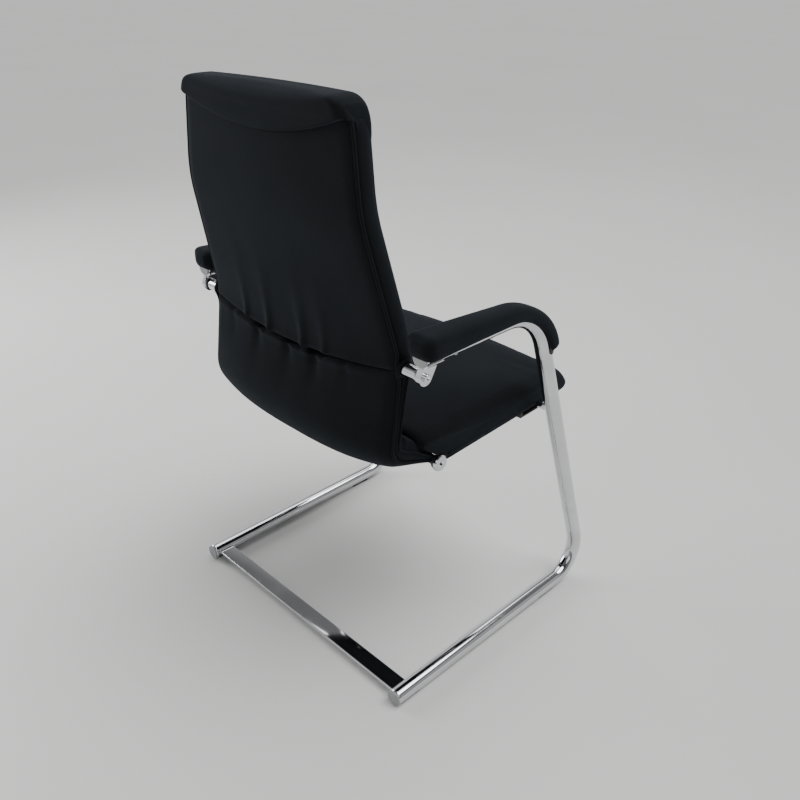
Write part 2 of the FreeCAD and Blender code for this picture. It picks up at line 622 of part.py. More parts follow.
def cross_members():
    bar = new_body("bar")
    sketch = new_sketch(bar, "bar_outline", "YZ_Plane")
    middle = size("sole_t") + size("tube_d") / 2
    rounded_box(sketch, "bar_y - bar_w / 2", "bar_y + bar_w / 2", AXIS_Z + " - bar_t / 2",
                AXIS_Z + " + bar_t / 2", "bar_round", "bar_round",
                (size("bar_y"), middle, size("bar_w") / 2, size("bar_t") / 2))
    pad(bar, sketch, "track", midplane=True)
    runners = [cylinder("runner_rod_" + side, "tube_d / 2", "4 * bar_w", "+y", across(sign, "track / 2"),
                        "bar_y - 2 * bar_w", AXIS_Z) for side, sign in SIDES]
    keep("rear_cross_bar", cut("bar_cut", bar, *runners))
    front = tube("front_tube", "front_d / 2", "front_d / 2 - front_wall", "-track / 2", "track / 2", "+x",
                 "0", FRONT_Y, "front_z")
    keep("front_cross_tube", cut("front_tube_cut", front, *[rods[side][1] for side, _ in SIDES]))
    reach = "(track / 2 - lug_t / 2)"
    keep("rear_cross_tube", tube("rear_tube", "rear_d / 2", "rear_d / 2 - rear_wall", "-" + reach, reach,
                                 "+x", "0", "pivot_y", "pivot_z"))
    plugs = []
    screws = []
    for side, sign in SIDES:
        towards = "+x" if sign > 0 else "-x"
        plugs.append(tube("cross_plug_" + side, "rear_d / 2 - rear_wall", "screw_d / 2", "-screw_len", "0",
                          towards, across(sign, "track / 2 - lug_t / 2"), "pivot_y", "pivot_z"))
        screws.append(screw("pivot_screw_" + side, "screw_d", "screw_len", "head_d", "head_h", towards,
                            across(sign, "track / 2 + lug_t / 2"), "pivot_y", "pivot_z",
                            ("hex_w", "hex_depth", "head_h")))
    group("cross_tube_plugs", plugs)
    group("pivot_screws", screws)
    soles = []
    for side, sign in SIDES:
        for where in ("front", "rear"):
            pad_box = box("sole_%s_%s" % (where, side), "sole_w", "sole_len", "sole_t + tube_d / 4",
                          across(sign, "track / 2") + " - sole_w / 2", "sole_%s - sole_len / 2" % where,
                          "0")
            rod = cylinder("sole_rod_%s_%s" % (where, side), "tube_d / 2", "2 * sole_len", "+y",
                           across(sign, "track / 2"), "sole_%s - sole_len" % where, AXIS_Z)
            soles.append(cut("runner_glide_%s_%s" % (where, side), pad_box, rod))
    group("runner_glides", soles)
    screws = []
    for side, sign in SIDES:
        for number in ("one", "two"):
            screws.append(screw("pad_screw_%s_%s" % (number, side), "small_d", "tube_d + core_t / 2",
                                "small_head_d", "small_head_h", "-z", across(sign, "track / 2"),
                                "pad_screw_" + number, "arm_height - tube_d / 2"))
    group("arm_pad_screws", screws)


# Side view of the back: its seam line runs from the top down, through the crease and round to the hinge

def tail_point(distance):
    """Point of the seam line at a distance behind the hinge, and the line's direction there."""
    slope = math.radians(size("tail_slope"))
    ahead = Vector(0, math.cos(slope), math.sin(slope))
    return Vector(0, size("hinge_y"), size("hinge_z")) + ahead * distance, -ahead


# Longest step between the stations of the seam line, on its straights and in its bends
STRAIGHT_STEP = 22
BEND_STEP = 6
# How far a quarter round stands from its corner, as a share of its radius
QUARTER = 1 - math.sqrt(0.5)


def seam_line(end):
    """Stations of the seam line, down to a distance behind the hinge. Each is a point, the line's direction,
    and a number of the stretch, which is above 2 in the tail's bend and 3 in the tail."""
    corners = [Vector(0, size("top_y"), size("top_z")), Vector(0, size("shoulder_y"), size("shoulder_z")),
               Vector(0, size("crease_y"), size("pivot_z")), tail_point(size("tail_reach"))[0],
               tail_point(end)[0]]
    stations = []
    start = corners[0]
    for k, radius in enumerate((size("shoulder_r"), size("crease_r"), size("tail_r"))):
        before = (corners[k + 1] - corners[k]).normalize()
        after = (corners[k + 2] - corners[k + 1]).normalize()
        turn = before.getAngle(after)
        inset = radius * math.tan(turn / 2)
        stop = corners[k + 1] - before * inset
        add_straight(stations, start, stop, before, k)
        side = 1 if before.cross(after).x > 0 else -1
        centre = stop + Vector(0, -before.z, before.y) * radius * side
        steps = max(2, round(radius * turn / BEND_STEP))
        for step in range(1, steps):
            swing = Rotation(Vector(1, 0, 0), math.degrees(side * turn * step / steps))
            stations.append((centre + swing.multVec(stop - centre), swing.multVec(before),
                             k + step / steps))
        start = corners[k + 1] + after * inset
    add_straight(stations, start, corners[-1], after, len(corners) - 2)
    return stations


def add_straight(stations, start, stop, along, stretch):
    steps = max(1, math.ceil(start.distanceToPoint(stop) / STRAIGHT_STEP))
    for step in range(steps + 1):
        stations.append((start + (stop - start) * (step / steps), along, stretch))


def ease(value, low, high):
    """0 below low, 1 above high and a smooth step between."""
    part = min(1, max(0, (value - low) / (high - low)))
    return part * part * (3 - 2 * part)


def mix(first, second, part):
    return first + (second - first) * part


class Layer:
    """Widths and depths of the back's layers at one station of the seam line."""

    def __init__(self, point, along, stretch):
        self.point = point
        self.forward = Vector(0, along.z, -along.y)
        pivot = size("pivot_z")
        rise = max(0, (point.z - pivot) / (size("top_z") - pivot))
        tail = ease(stretch, 2, 3)
        above = ease(point.z, pivot - 60, pivot + 60)
        low = ease(pivot - point.z, 30, 70)
        near_tail = ease(pivot - point.z, 60, 125)
        self.half = mix(size("back_half"), size("back_half_top"), rise)
        self.side = mix(mix(size("side_low"), size("side_top"), above), size("tail_side"), tail)
        self.gap = mix(mix(size("shell_gap"), size("low_gap"), low), size("tail_gap"), tail)
        self.crown = mix(mix(size("front_crown"), size("low_crown"), near_tail), size("tail_crown"), tail)
        self.roll = mix(size("roll_low"), size("roll_top"), above)
        self.roll += size("crease_fill") * math.exp(-((point.z - pivot) / size("rear_d")) ** 2)

    def at(self, x, depth):
        """Point at a distance from the middle and a depth in front of the seam line."""
        return Vector(x, 0, 0) + self.point + self.forward * depth

    def box(self, half, low, high):
        return Part.makePolygon([self.at(half, low), self.at(half, high), self.at(-half, high),
                                 self.at(-half, low), self.at(half, low)])


def arc(start, via, end):
    return Part.Arc(start, via, end).toShape()


def line(start, end):
    return Part.LineSegment(start, end).toShape()


def shaped(name, shape):
    """A form that is made directly from the sizes of the sheet."""
    thing = doc.addObject("Part::Feature", name)
    thing.Shape = shape
    return thing


def loft(name, wires, ruled=False):
    return shaped(name, Part.makeLoft(wires, True, ruled))


def cushion_wire(layer):
    """Crowned front, swelling sides and a rear edge on the seam line."""
    half, side = layer.half, layer.side
    edge = half - size("side_bulge")
    swell = half + size("side_bulge")
    return Part.Wire([
        arc(layer.at(edge, side), layer.at(0, side + layer.crown), layer.at(-edge, side)),
        arc(layer.at(-edge, side), layer.at(-swell, side / 2), layer.at(-half, 0)),
        line(layer.at(-half, 0), layer.at(half, 0)),
        arc(layer.at(half, 0), layer.at(swell, side / 2), layer.at(edge, side))])


def room_wire(layer):
    """Room in the cushion for the rear cover and, in front of it, the shell."""
    wide, narrow = layer.half - size("rim"), layer.half - size("shell_inset")
    low, step, high = -size("roll_w"), layer.gap, layer.gap + size("shell_t")
    return Part.makePolygon([
        layer.at(wide, low), layer.at(wide, step), layer.at(narrow, step), layer.at(narrow, high),
        layer.at(-narrow, high), layer.at(-narrow, step), layer.at(-wide, step), layer.at(-wide, low),
        layer.at(wide, low)])


def cover_wire(layer):
    """Rolled edges and a slight crown to the rear, and a step that fits into the cushion's rim."""
    half, gap, roll = layer.half, layer.gap, layer.roll
    inner = half - size("roll_w")
    knee = half - size("roll_w") * size("roll_knee")
    step = half - size("rim")
    return Part.Wire([
        arc(layer.at(half, 0), layer.at(knee, -size("roll_rise") * roll), layer.at(inner, -roll)),
        arc(layer.at(inner, -roll), layer.at(0, -roll - size("cover_crown")), layer.at(-inner, -roll)),
        arc(layer.at(-inner, -roll), layer.at(-knee, -size("roll_rise") * roll), layer.at(-half, 0)),
        line(layer.at(-half, 0), layer.at(-step, 0)),
        line(layer.at(-step, 0), layer.at(-step, gap)),
        line(layer.at(-step, gap), layer.at(step, gap)),
        line(layer.at(step, gap), layer.at(step, 0)),
        line(layer.at(step, 0), layer.at(half, 0))])


# Sections of the head roll: share of the half width, and scale of the section, which draws in the ends
HEAD_SECTIONS = ((-1, 0.8), (-0.985, 0.92), (-0.95, 0.98), (-0.88, 1), (-0.75, 1), (-0.6, 1), (-0.4, 1),
                 (-0.2, 1), (0, 1), (0.2, 1), (0.4, 1), (0.6, 1), (0.75, 1), (0.88, 1), (0.95, 0.98),
                 (0.985, 0.92), (1, 0.8))


def head_roll_form():
    """Roll over the top edge: flush with the cushion in front, with a lip over the rear that hangs lower in
    the middle."""
    rear, base, top = size("head_rear"), size("head_base"), size("head_top")
    far, near, edge = size("head_round"), size("lip_round"), size("lip_edge")
    wires = []
    for part, scale in HEAD_SECTIONS:
        swell = 1 - part * part
        front = size("head_front") - size("head_bow") * swell
        low = size("head_lip") - size("head_dip") * swell
        middle = Vector(0, (front + rear) / 2, (base + top) / 2)

        def at(y, z):
            return Vector(size("head_half") * part, 0, 0) + middle + (Vector(0, y, z) - middle) * scale

        wires.append(Part.Wire([
            line(at(front, base), at(front, top - far)),
            arc(at(front, top - far), at(front + far * QUARTER, top - far * QUARTER),
                at(front + far, top)),
            line(at(front + far, top), at(rear - near, top)),
            arc(at(rear - near, top), at(rear - near * QUARTER, top - near * QUARTER),
                at(rear, top - near)),
            line(at(rear, top - near), at(rear, low + edge)),
            arc(at(rear, low + edge), at(rear - edge * QUARTER, low + edge * QUARTER),
                at(rear - edge, low)),
            line(at(rear - edge, low), at(front, base))]))
    return loft("roll_form", wires, True)


def in_tail(thing):
    """Move a piece that is drawn round the hinge, with the tail along its Y, to its place."""
    thing.Placement = Placement(Vector(), Rotation(Vector(1, 0, 0), 1))
    thing.setExpression("Placement.Rotation.Angle", formula("tail_slope * 1 deg"))
    return place(thing, "0", "hinge_y", "hinge_z")


def pivot_blocks(shell):
    screws = []
    for side, sign in SIDES:
        for where, way in (("upper", 1), ("lower", -1)):
            screws.append(screw("block_screw_%s_%s" % (where, side), "small_d", "long_screw",
                                "small_head_d", "small_head_h", "+y", across(sign, "block_x"), "pivot_y",
                                "pivot_z + %d * block_screw" % way))
    screws = group("pivot_block_screws", screws)
    bush_r = "rear_d / 2 + run_gap + bush_wall"
    blocks = []
    for side, sign in SIDES:
        x = across(sign, "block_x") + " - block_w / 2"
        foot = box("block_foot_" + side, "block_w", "pivot_y - block_front", "block_h", x, "block_front",
                   "pivot_z - block_h / 2")
        barrel = cylinder("block_barrel_" + side, "block_r", "block_w", "+x", x, "pivot_y", "pivot_z")
        bore = cylinder("block_bore_" + side, bush_r, "block_w", "+x", x, "pivot_y", "pivot_z")
        block = fuse("block_" + side, foot, barrel)
        blocks.append(block)
        keep("pivot_block_" + side, cut("block_cut_" + side, block, bore, shell, screws))
        keep("pivot_bush_" + side, tube("pivot_bush_" + side, bush_r, "rear_d / 2 + run_gap", "0",
                                        "block_w", "+x", x, "pivot_y", "pivot_z"))
    return blocks


def tail_arms():
    screws = []
    for side, sign in SIDES:
        for where, y in (("near", "foot_start + foot_screw"), ("far", "arm_len - foot_screw")):
            screws.append(screw("arm_screw_%s_%s" % (where, side), "small_d", "wood_screw", "small_head_d",
                                "small_head_h", "-z", across(sign, "arm_x - foot_w / 2"), y,
                                "tail_gap - foot_t"))
    for side, sign in SIDES:
        x = across(sign, "arm_x") + " - arm_t / 2"
        eye = cylinder("arm_eye_" + side, "eye_r", "arm_t", "+x", x, "0", "0")
        bar = box("arm_bar_" + side, "arm_t", "arm_len", "arm_high", x, "0", "tail_gap - arm_high")
        foot_x = across(sign, "arm_x - foot_w / 2") + " - foot_w / 2"
        foot = box("arm_foot_" + side, "foot_w", "arm_len - foot_start", "foot_t", foot_x, "foot_start",
                   "tail_gap - foot_t")
        bore = cylinder("arm_bore_" + side, "screw_d / 2", "arm_t", "+x", x, "0", "0")
        arm = cut("arm_cut_" + side, fuse("arm_" + side, eye, bar, foot), bore, *screws)
        keep("tail_arm_" + side, in_tail(arm))
    in_tail(group("tail_arm_screws", screws))


def arm_room(side, sign):
    """Room in the rear cover for a tail arm's bar and for its foot with the screws."""
    bar = box("bar_room_" + side, "arm_t + 2 * soft_gap", "arm_len + soft_gap", "arm_high + foot_t",
              across(sign, "arm_x") + " - arm_t / 2 - soft_gap", "0", "tail_gap - arm_high - soft_gap")
    foot = box("foot_room_" + side, "foot_w + 2 * soft_gap", "arm_len - foot_start + 2 * soft_gap",
               "3 * foot_t", across(sign, "arm_x - foot_w / 2") + " - foot_w / 2 - soft_gap",
               "foot_start - soft_gap", "tail_gap - foot_t - small_head_h - soft_gap")
    return in_tail(fuse("arm_room_" + side, bar, foot))


def hinge_pins():
    for side, sign in SIDES:
        towards = "+x" if sign > 0 else "-x"
        x = across(sign, "disc_x")
        reach = "(disc_x - %s + pin_over)" % EAR_X
        keep("hinge_pin_" + side, turned("hinge_pin_" + side, [
            ("0", "-" + reach), ("screw_d / 2", "-" + reach), ("screw_d / 2", "0"), ("disc_d / 2", "0"),
            ("disc_d / 2", "disc_t - disc_edge"), ("disc_d / 2 - disc_edge", "disc_t"), ("0", "disc_t")],
            towards, x, "hinge_y", "hinge_z", ("disc_hex", "hex_depth", "disc_t")))
        keep("hinge_washer_" + side, turned("hinge_washer_" + side, [
            ("screw_d / 2", "-(disc_x - arm_x - arm_t / 2)"), ("collar_d / 2", "-(disc_x - arm_x - arm_t / 2)"),
            ("collar_d / 2", "-washer_t"), ("washer_d / 2", "-washer_t"), ("washer_d / 2", "0"),
            ("screw_d / 2", "0")], towards, x, "hinge_y", "hinge_z"))


def back():
    shell_layers = [Layer(*station) for station in seam_line(size("shell_end"))]
    cushion_layers = [Layer(*station) for station in seam_line(size("cushion_end"))]
    cover_layers = [Layer(*station) for station in seam_line(size("cover_end"))]
    shell = loft("shell_form", [layer.box(layer.half - size("shell_inset"), layer.gap,
                                          layer.gap + size("shell_t")) for layer in shell_layers], True)
    roll = head_roll_form()
    blocks = pivot_blocks(shell)
    tail_arms()
    hinge_pins()
    keep("head_roll", cut("roll_cut", roll, shell))
    keep("back_shell", cut("shell_cut", shell, nodes["pivot_block_screws"], nodes["tail_arm_screws"]))
    turning = cylinder("tube_room", "rear_d / 2 + soft_gap", "track", "+x", "-track / 2", "pivot_y",
                       "pivot_z")
    cushion = loft("cushion_form", [cushion_wire(layer) for layer in cushion_layers], True)
    top, along, _ = seam_line(0)[0]
    room_layers = [Layer(top - along * size("rim"), along, 0)]
    room_layers += [Layer(*station) for station in seam_line(size("cushion_end") - size("rim"))]
    room = loft("cushion_room", [room_wire(layer) for layer in room_layers], True)
    keep("back_cushion", cut("cushion_cut", cushion, room, roll, turning))
    cover = loft("cover_form", [cover_wire(layer) for layer in cover_layers], True)
    below = box("below_crease", "track", "track", "2 * track", "-track / 2", "0",
                "pivot_z + crease_gap / 2 - 2 * track")
    above = box("above_crease", "track", "track", "2 * track", "-track / 2", "0", "pivot_z - crease_gap / 2")
    keep("rear_cover_upper", cut("upper_cut", cover, below, roll, turning, nodes["pivot_block_screws"],
                                 *blocks))
    rooms = [arm_room(side, sign) for side, sign in SIDES]
    keep("rear_cover_lower", cut("lower_cut", cover, above, turning, nodes["pivot_block_screws"], *rooms,
                                 *blocks))


# Seat, drawn from the front cross tube's place on the pan's underside and tilted into its place

# Distance of the seat ear's inner face from the middle
EAR_X = "(arm_x - 3 * arm_t / 2 - flange_t - 2 * run_gap)"
# The hinge in the pan's own directions
EAR_Y = ("((hinge_y - %s) * cos(seat_slope * 1 deg) + (%s - hinge_z) * sin(seat_slope * 1 deg))"
         % (FRONT_Y, SEAT_PLANE))
EAR_Z = ("((hinge_y - %s) * sin(seat_slope * 1 deg) - (%s - hinge_z) * cos(seat_slope * 1 deg))"
         % (FRONT_Y, SEAT_PLANE))


def in_seat(thing):
    thing.Placement = Placement(Vector(), Rotation(Vector(-1, 0, 0), 1))
    thing.setExpression("Placement.Rotation.Angle", formula("seat_slope * 1 deg"))
    return place(thing, "0", FRONT_Y, SEAT_PLANE)


def along_pan(y):
    """A Y of the chair as a distance along the pan from the front cross tube."""
    return "((%s) - %s) / cos(seat_slope * 1 deg)" % (y, FRONT_Y)


def pan_board():
    """Board that turns up over the tail."""
    body = new_body("pan")
    sketch = new_sketch(body, "pan_outline", "YZ_Plane")
    front, bend = along_pan("pan_front"), along_pan("pan_bend")
    up, over = "sin(pan_turn * 1 deg)", "cos(pan_turn * 1 deg)"
    polygon(sketch, [
        (front, "0"), (bend, "0"), (bend + " + pan_tail * " + over, "pan_tail * " + up),
        (bend + " + pan_tail * %s - pan_t * %s" % (over, up), "pan_tail * %s + pan_t * %s" % (up, over)),
        (bend + " - pan_t * tan(pan_turn / 2 * 1 deg)", "pan_t"), (front, "pan_t")])
    pad(body, sketch, "2 * pan_half", midplane=True)
    return in_seat(body)


def guide(side, sign, screws):
    """Block with a slot that slides on the front cross tube, and a wing that is screwed to the pan."""
    low = "-(guide_roof + roof_gap + front_d + drop + slot_gap)"
    front, rear = "-(front_d / 2 + slot_gap)", "(front_d / 2 + travel + slot_gap)"
    length = "(front_d + travel + 2 * slot_gap)"
    middle = across(sign, "(guide_in + guide_out) / 2")
    block = box("guide_block_" + side, "guide_out - guide_in", length + " + 2 * guide_wall",
                "-(%s) + guide_lip" % low, middle + " - (guide_out - guide_in) / 2", front + " - guide_wall",
                low + " - guide_lip")
    slot = box("guide_slot_" + side, "guide_out - guide_in", length, "-(%s) - guide_roof" % low,
               middle + " - (guide_out - guide_in) / 2", front, low)
    wing = box("guide_wing_" + side, "wing_w", length + " + 2 * (guide_wall + wing_over)", "wing_t",
               across(sign, "guide_in - wing_w / 2") + " - wing_w / 2", front + " - guide_wall - wing_over",
               "-wing_t")
    body = cut("guide_cut_" + side, fuse("guide_" + side, block, wing), slot, *screws)
    keep("glide_" + side, in_seat(body))
    room = box("guide_room_" + side, "guide_out - guide_in + 8 * slot_gap + skirt_w",
               length + " + 2 * (guide_wall + slot_gap)", "2 * skirt",
               across(sign, "(guide_in + guide_out + skirt_w) / 2")
               + " - (guide_out - guide_in + 8 * slot_gap + skirt_w) / 2",
               front + " - guide_wall - slot_gap", "-2 * skirt")
    placed = doc.addObject("Part::Compound", "guide_room_place_" + side)
    placed.Links = [room]
    return in_seat(placed)


def seat_ear(side, sign, screws):
    """Plate with an eye, and a foot against the pan."""
    body = new_body("ear_plate_" + side)
    sketch = new_sketch(body, "ear_outline_" + side, "YZ_Plane",
                        across(sign, EAR_X + " + arm_t / 2"))
    front, rear = along_pan("ear_front"), along_pan("ear_rear")
    polygon(sketch, [
        (front, "-2 * foot_t"), (EAR_Y, EAR_Z + " - eye_r"), (EAR_Y + " + eye_r / 2", EAR_Z),
        (EAR_Y, EAR_Z + " + eye_r"), (rear, "0"), (front, "0")])
    pad(body, sketch, "arm_t", midplane=True)
    x = across(sign, EAR_X + " + arm_t / 2") + " - arm_t / 2"
    eye = cylinder("ear_eye_" + side, "eye_r", "arm_t", "+x", x, EAR_Y, EAR_Z)
    foot = box("ear_foot_" + side, "foot_w", rear + " - " + front, "foot_t",
               across(sign, EAR_X + " - foot_w / 2 + arm_t") + " - foot_w / 2", front, "-foot_t")
    bore = cylinder("ear_bore_" + side, "screw_d / 2 + run_gap + bush_wall", "arm_t", "+x", x, EAR_Y, EAR_Z)
    ear = cut("ear_cut_" + side, fuse("ear_" + side, body, eye, foot), bore, *screws)
    keep("seat_ear_" + side, in_seat(ear))
    inner, outer = "screw_d / 2 + run_gap", "screw_d / 2 + run_gap + bush_wall"
    keep("ear_bush_" + side, turned("ear_bush_" + side, [
        (inner, "0"), (outer, "0"), (outer, "arm_t"), ("eye_r", "arm_t"), ("eye_r", "arm_t + flange_t"),
        (inner, "arm_t + flange_t")], "+x" if sign > 0 else "-x", across(sign, EAR_X), "hinge_y", "hinge_z"))


def seat_base(y):
    """Height of the seat's lower edge."""
    lean = math.radians(size("leg_lean"))
    front_y = -size("low_corner") + (size("front_z") - size("sole_t") - size("tube_d") / 2) * math.tan(lean)
    plane = size("front_z") + size("front_d") / 2 + size("roof_gap") + size("guide_roof")
    return plane - size("skirt") - (y - front_y) * math.tan(math.radians(size("seat_slope")))


def seat_wire(x, rise, inset):
    """Side view of the seat cushion at one distance from the middle: crowned top, round nose, and a wedge
    over the tail at its rear."""
    draw = size("seat_draw") * max(0, inset) - size("seat_bow") * max(0, -inset)
    nose, back = size("seat_nose") + draw, size("seat_back") - draw
    wedge = size("wedge_y") - max(0, draw)
    top = size("seat_top") + size("seat_crown") * rise
    low = size("seat_lift") * max(0, draw)
    knee = mix(seat_base(nose), top, size("nose_knee"))
    edge, over, under = size("seat_edge"), size("nose_over"), size("nose_under")
    start = seat_base(nose + under) + low

    def at(y, z):
        return Vector(x, y, z)

    return Part.Wire([
        line(at(nose + under, start), at(wedge, seat_base(wedge) + low)),
        line(at(wedge, seat_base(wedge) + low), at(back, top - edge)),
        arc(at(back, top - edge), at(back - edge * QUARTER, top - edge * QUARTER), at(back - edge, top)),
        arc(at(back - edge, top), at((back + nose) / 2, top + size("seat_swell")), at(nose + over, top)),
        arc(at(nose + over, top), at(nose + over * QUARTER, mix(top, knee, QUARTER)), at(nose, knee)),
        arc(at(nose, knee), at(nose + under * QUARTER, mix(start, knee, QUARTER)), at(nose + under, start))])


# Sections of the seat cushion: share of the half width, rise of the top, and inset of the outline
SEAT_SECTIONS = ((-1, -1, 1), (-0.985, -0.45, 0.45), (-0.94, 0, 0.12), (-0.8, 0.5, -0.3), (-0.45, 0.9, -0.8),
                 (0, 1, -1), (0.45, 0.9, -0.8), (0.8, 0.5, -0.3), (0.94, 0, 0.12), (0.985, -0.45, 0.45),
                 (1, -1, 1))


def seat_form():
    half = size("seat_half")
    wires = []
    for part, rise, inset in SEAT_SECTIONS:
        wires.append(seat_wire(half * part, rise, inset))
    return loft("seat_form", wires)


def pan_room():
    """The open space under the pan, inside the cushion's hanging edge."""
    body = new_body("pan_room")
    sketch = new_sketch(body, "pan_room_outline", "YZ_Plane")
    front, bend = along_pan("seat_nose + skirt_w"), along_pan("pan_bend")
    up, over = "sin(pan_turn * 1 deg)", "cos(pan_turn * 1 deg)"
    tip_y, tip_z = bend + " + pan_tail * " + over, "pan_tail * " + up
    polygon(sketch, [
        (front, "0"), (front, "-2 * skirt"), (tip_y + " + 2 * skirt * " + up, "-2 * skirt"),
        (tip_y + " + 2 * skirt * " + up, tip_z + " - 2 * skirt * " + over), (tip_y, tip_z), (bend, "0")])
    pad(body, sketch, "2 * (seat_half - skirt_w)", midplane=True)
    return in_seat(body)


def seat():
    glide_screws = []
    ear_screws = []
    length = "(front_d + travel + 2 * slot_gap)"
    for side, sign in SIDES:
        front = "-(front_d / 2 + slot_gap + guide_wall + wing_over) + wing_screw"
        for where, y in (("front", front), ("rear", front + " + %s + 2 * (guide_wall + wing_over - wing_screw)"
                                            % length)):
            glide_screws.append(screw("glide_screw_%s_%s" % (where, side), "small_d", "wood_screw",
                                      "small_head_d", "small_head_h", "-z",
                                      across(sign, "guide_in - wing_w / 2"), y, "-wing_t"))
        for where, y in (("front", along_pan("ear_front + foot_screw")),
                         ("rear", along_pan("ear_rear - foot_screw"))):
            ear_screws.append(screw("ear_screw_%s_%s" % (where, side), "small_d", "wood_screw",
                                    "small_head_d", "small_head_h", "-z",
                                    across(sign, EAR_X + " - foot_w / 2"), y, "-foot_t"))
    rooms = [guide(side, sign, glide_screws) for side, sign in SIDES]
    for side, sign in SIDES:
        seat_ear(side, sign, ear_screws)
        rooms.append(cylinder("washer_room_" + side, "washer_d / 2 + soft_gap", "2 * washer_t", "+x",
                              across(sign, "disc_x") + " - washer_t", "hinge_y", "hinge_z"))
    in_seat(group("glide_screws", glide_screws))
    in_seat(group("seat_ear_screws", ear_screws))
    pan = pan_board()
    keep("seat_pan", cut("pan_cut", pan, nodes["glide_screws"], nodes["seat_ear_screws"]))
    keep("seat_cushion", cut("seat_cut", seat_form(), pan, pan_room(), *rooms))


rods = {}
for side, sign in SIDES:
    arm_rod, leg_rod = side_frame(side, sign)
    rods[side] = (arm_rod, leg_rod)
    tube_cap("runner_cap_" + side, across(sign, "track / 2"), "runner_rear", AXIS_Z)
    tube_cap("arm_cap_" + side, across(sign, "track / 2"), "arm_rear", "arm_height")
    arm_bracket(side, sign, arm_rod)
    arm_pad(side, sign)
cross_members()
back()
seat()
doc.recompute()

os.makedirs("parts", exist_ok=True)
for thing in doc.Objects:
    if "Invalid" in thing.State or "Error" in thing.State:
        raise RuntimeError("%s can't be built: %s" % (thing.Name, thing.State))
for label, thing in nodes.items():
    if thing.Shape.isNull() or not thing.Shape.isValid() or not thing.Shape.Solids:
        raise RuntimeError("%s has no valid solid" % label)
for label, thing in nodes.items():
    thing.Shape.exportStep(os.path.join("parts", label + ".step"))
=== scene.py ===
"""Cantilever chair with chromed tube frame, black upholstery and a back that tilts with the seat.

The chair faces -Y, the sitter's right is -X and the floor is Z 0. Shapes are worked out in millimetres and
turned into metres when a surface is made."""
import json
import math

import bmesh
import bpy
import numpy as np
from mathutils import Matrix, Vector


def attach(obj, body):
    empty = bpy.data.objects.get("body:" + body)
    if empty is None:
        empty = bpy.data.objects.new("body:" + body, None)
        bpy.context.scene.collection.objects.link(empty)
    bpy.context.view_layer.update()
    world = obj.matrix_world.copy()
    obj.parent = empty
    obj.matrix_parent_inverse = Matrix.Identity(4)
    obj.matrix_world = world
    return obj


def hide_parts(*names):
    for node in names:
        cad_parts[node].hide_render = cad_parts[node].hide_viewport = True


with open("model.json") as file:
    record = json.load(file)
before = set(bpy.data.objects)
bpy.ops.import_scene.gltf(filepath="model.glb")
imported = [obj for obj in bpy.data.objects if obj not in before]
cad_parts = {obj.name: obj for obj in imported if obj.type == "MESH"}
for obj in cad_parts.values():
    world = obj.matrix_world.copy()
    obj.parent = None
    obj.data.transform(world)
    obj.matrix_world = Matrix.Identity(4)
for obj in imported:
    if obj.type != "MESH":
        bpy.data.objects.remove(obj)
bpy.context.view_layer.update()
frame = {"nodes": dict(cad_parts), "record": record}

SIDES = (("left", 1), ("right", -1))


# Lines and surfaces

def mix(first, second, part):
    """The value so far on the way from first to second."""
    return first + (second - first) * part


def ease(value, low, high):
    """0 below low, 1 above high and a smooth step between."""
    part = np.clip((value - low) / (high - low), 0, 1)
    return part * part * (3 - 2 * part)


def bump(value, middle, width):
    """A soft hill of height 1 round the middle, exp(-((value - middle) / width)^2)."""
    return np.exp(-((value - middle) / width) ** 2)


def unit(vectors):
    """The vectors brought to length 1."""
    return vectors / np.linalg.norm(vectors, axis=-1, keepdims=True)


def rounded_line(corners, radii, step):
    """Straight runs between corners in the YZ plane, joined by arcs of the radii: points about a step apart,
    and the unit direction at each."""
    corners = np.asarray(corners, float)
    runs = [corners[:1]]
    for before, corner, after, radius in zip(corners, corners[1:], corners[2:], radii):
        first, second = unit(corner - before), unit(after - corner)
        turn = math.acos(np.clip(first @ second, -1, 1))
        side = np.sign(first[0] * second[1] - first[1] * second[0])
        start = corner - first * radius * math.tan(turn / 2)
        normal = np.array([-first[1], first[0]]) * side
        angle = np.linspace(0, turn, 24)[:, None]
        runs.append(start + normal * radius * (1 - np.cos(angle)) + first * radius * np.sin(angle))
    runs.append(corners[-1:])
    line = np.concatenate(runs)
    return resampled(line, step)


def resampled(line, step):
    """The line's points again, evenly spaced along it, and the direction at each."""
    length = np.concatenate([[0], np.cumsum(np.linalg.norm(np.diff(line, axis=0), axis=1))])
    even = np.linspace(0, length[-1], max(2, round(length[-1] / step) + 1))
    points = np.stack([np.interp(even, length, line[:, k]) for k in range(line.shape[1])], 1)
    return points, unit(np.gradient(points, axis=0))


def softened(loops, reach):
    """Closed loops whose corners are rounded by a running mean, in which near neighbours count for more."""
    total = sum(np.roll(loops, shift, axis=-2) * (reach + 1 - abs(shift)) for shift in range(-reach, reach + 1))
    return total / (reach + 1) ** 2


def end_rings(loop, outward, puff, shares=(0.97, 0.9, 0.78, 0.6, 0.4, 0.2, 0)):
    """Rings that close an end: the loop shrunk towards its middle and lifted outwards as a shallow dome."""
    middle = loop.mean(axis=0)
    share = np.array(shares)[:, None, None]
    return middle + (loop - middle) * share + np.asarray(outward, float) * puff * np.sqrt(1 - share ** 2)


def capped(loops, outward_first, outward_last, puff):
    """Loops with both ends closed by rings."""
    first = end_rings(loops[0], outward_first, puff)[::-1]
    last = end_rings(loops[-1], outward_last, puff)
    return np.concatenate([first, loops, last])


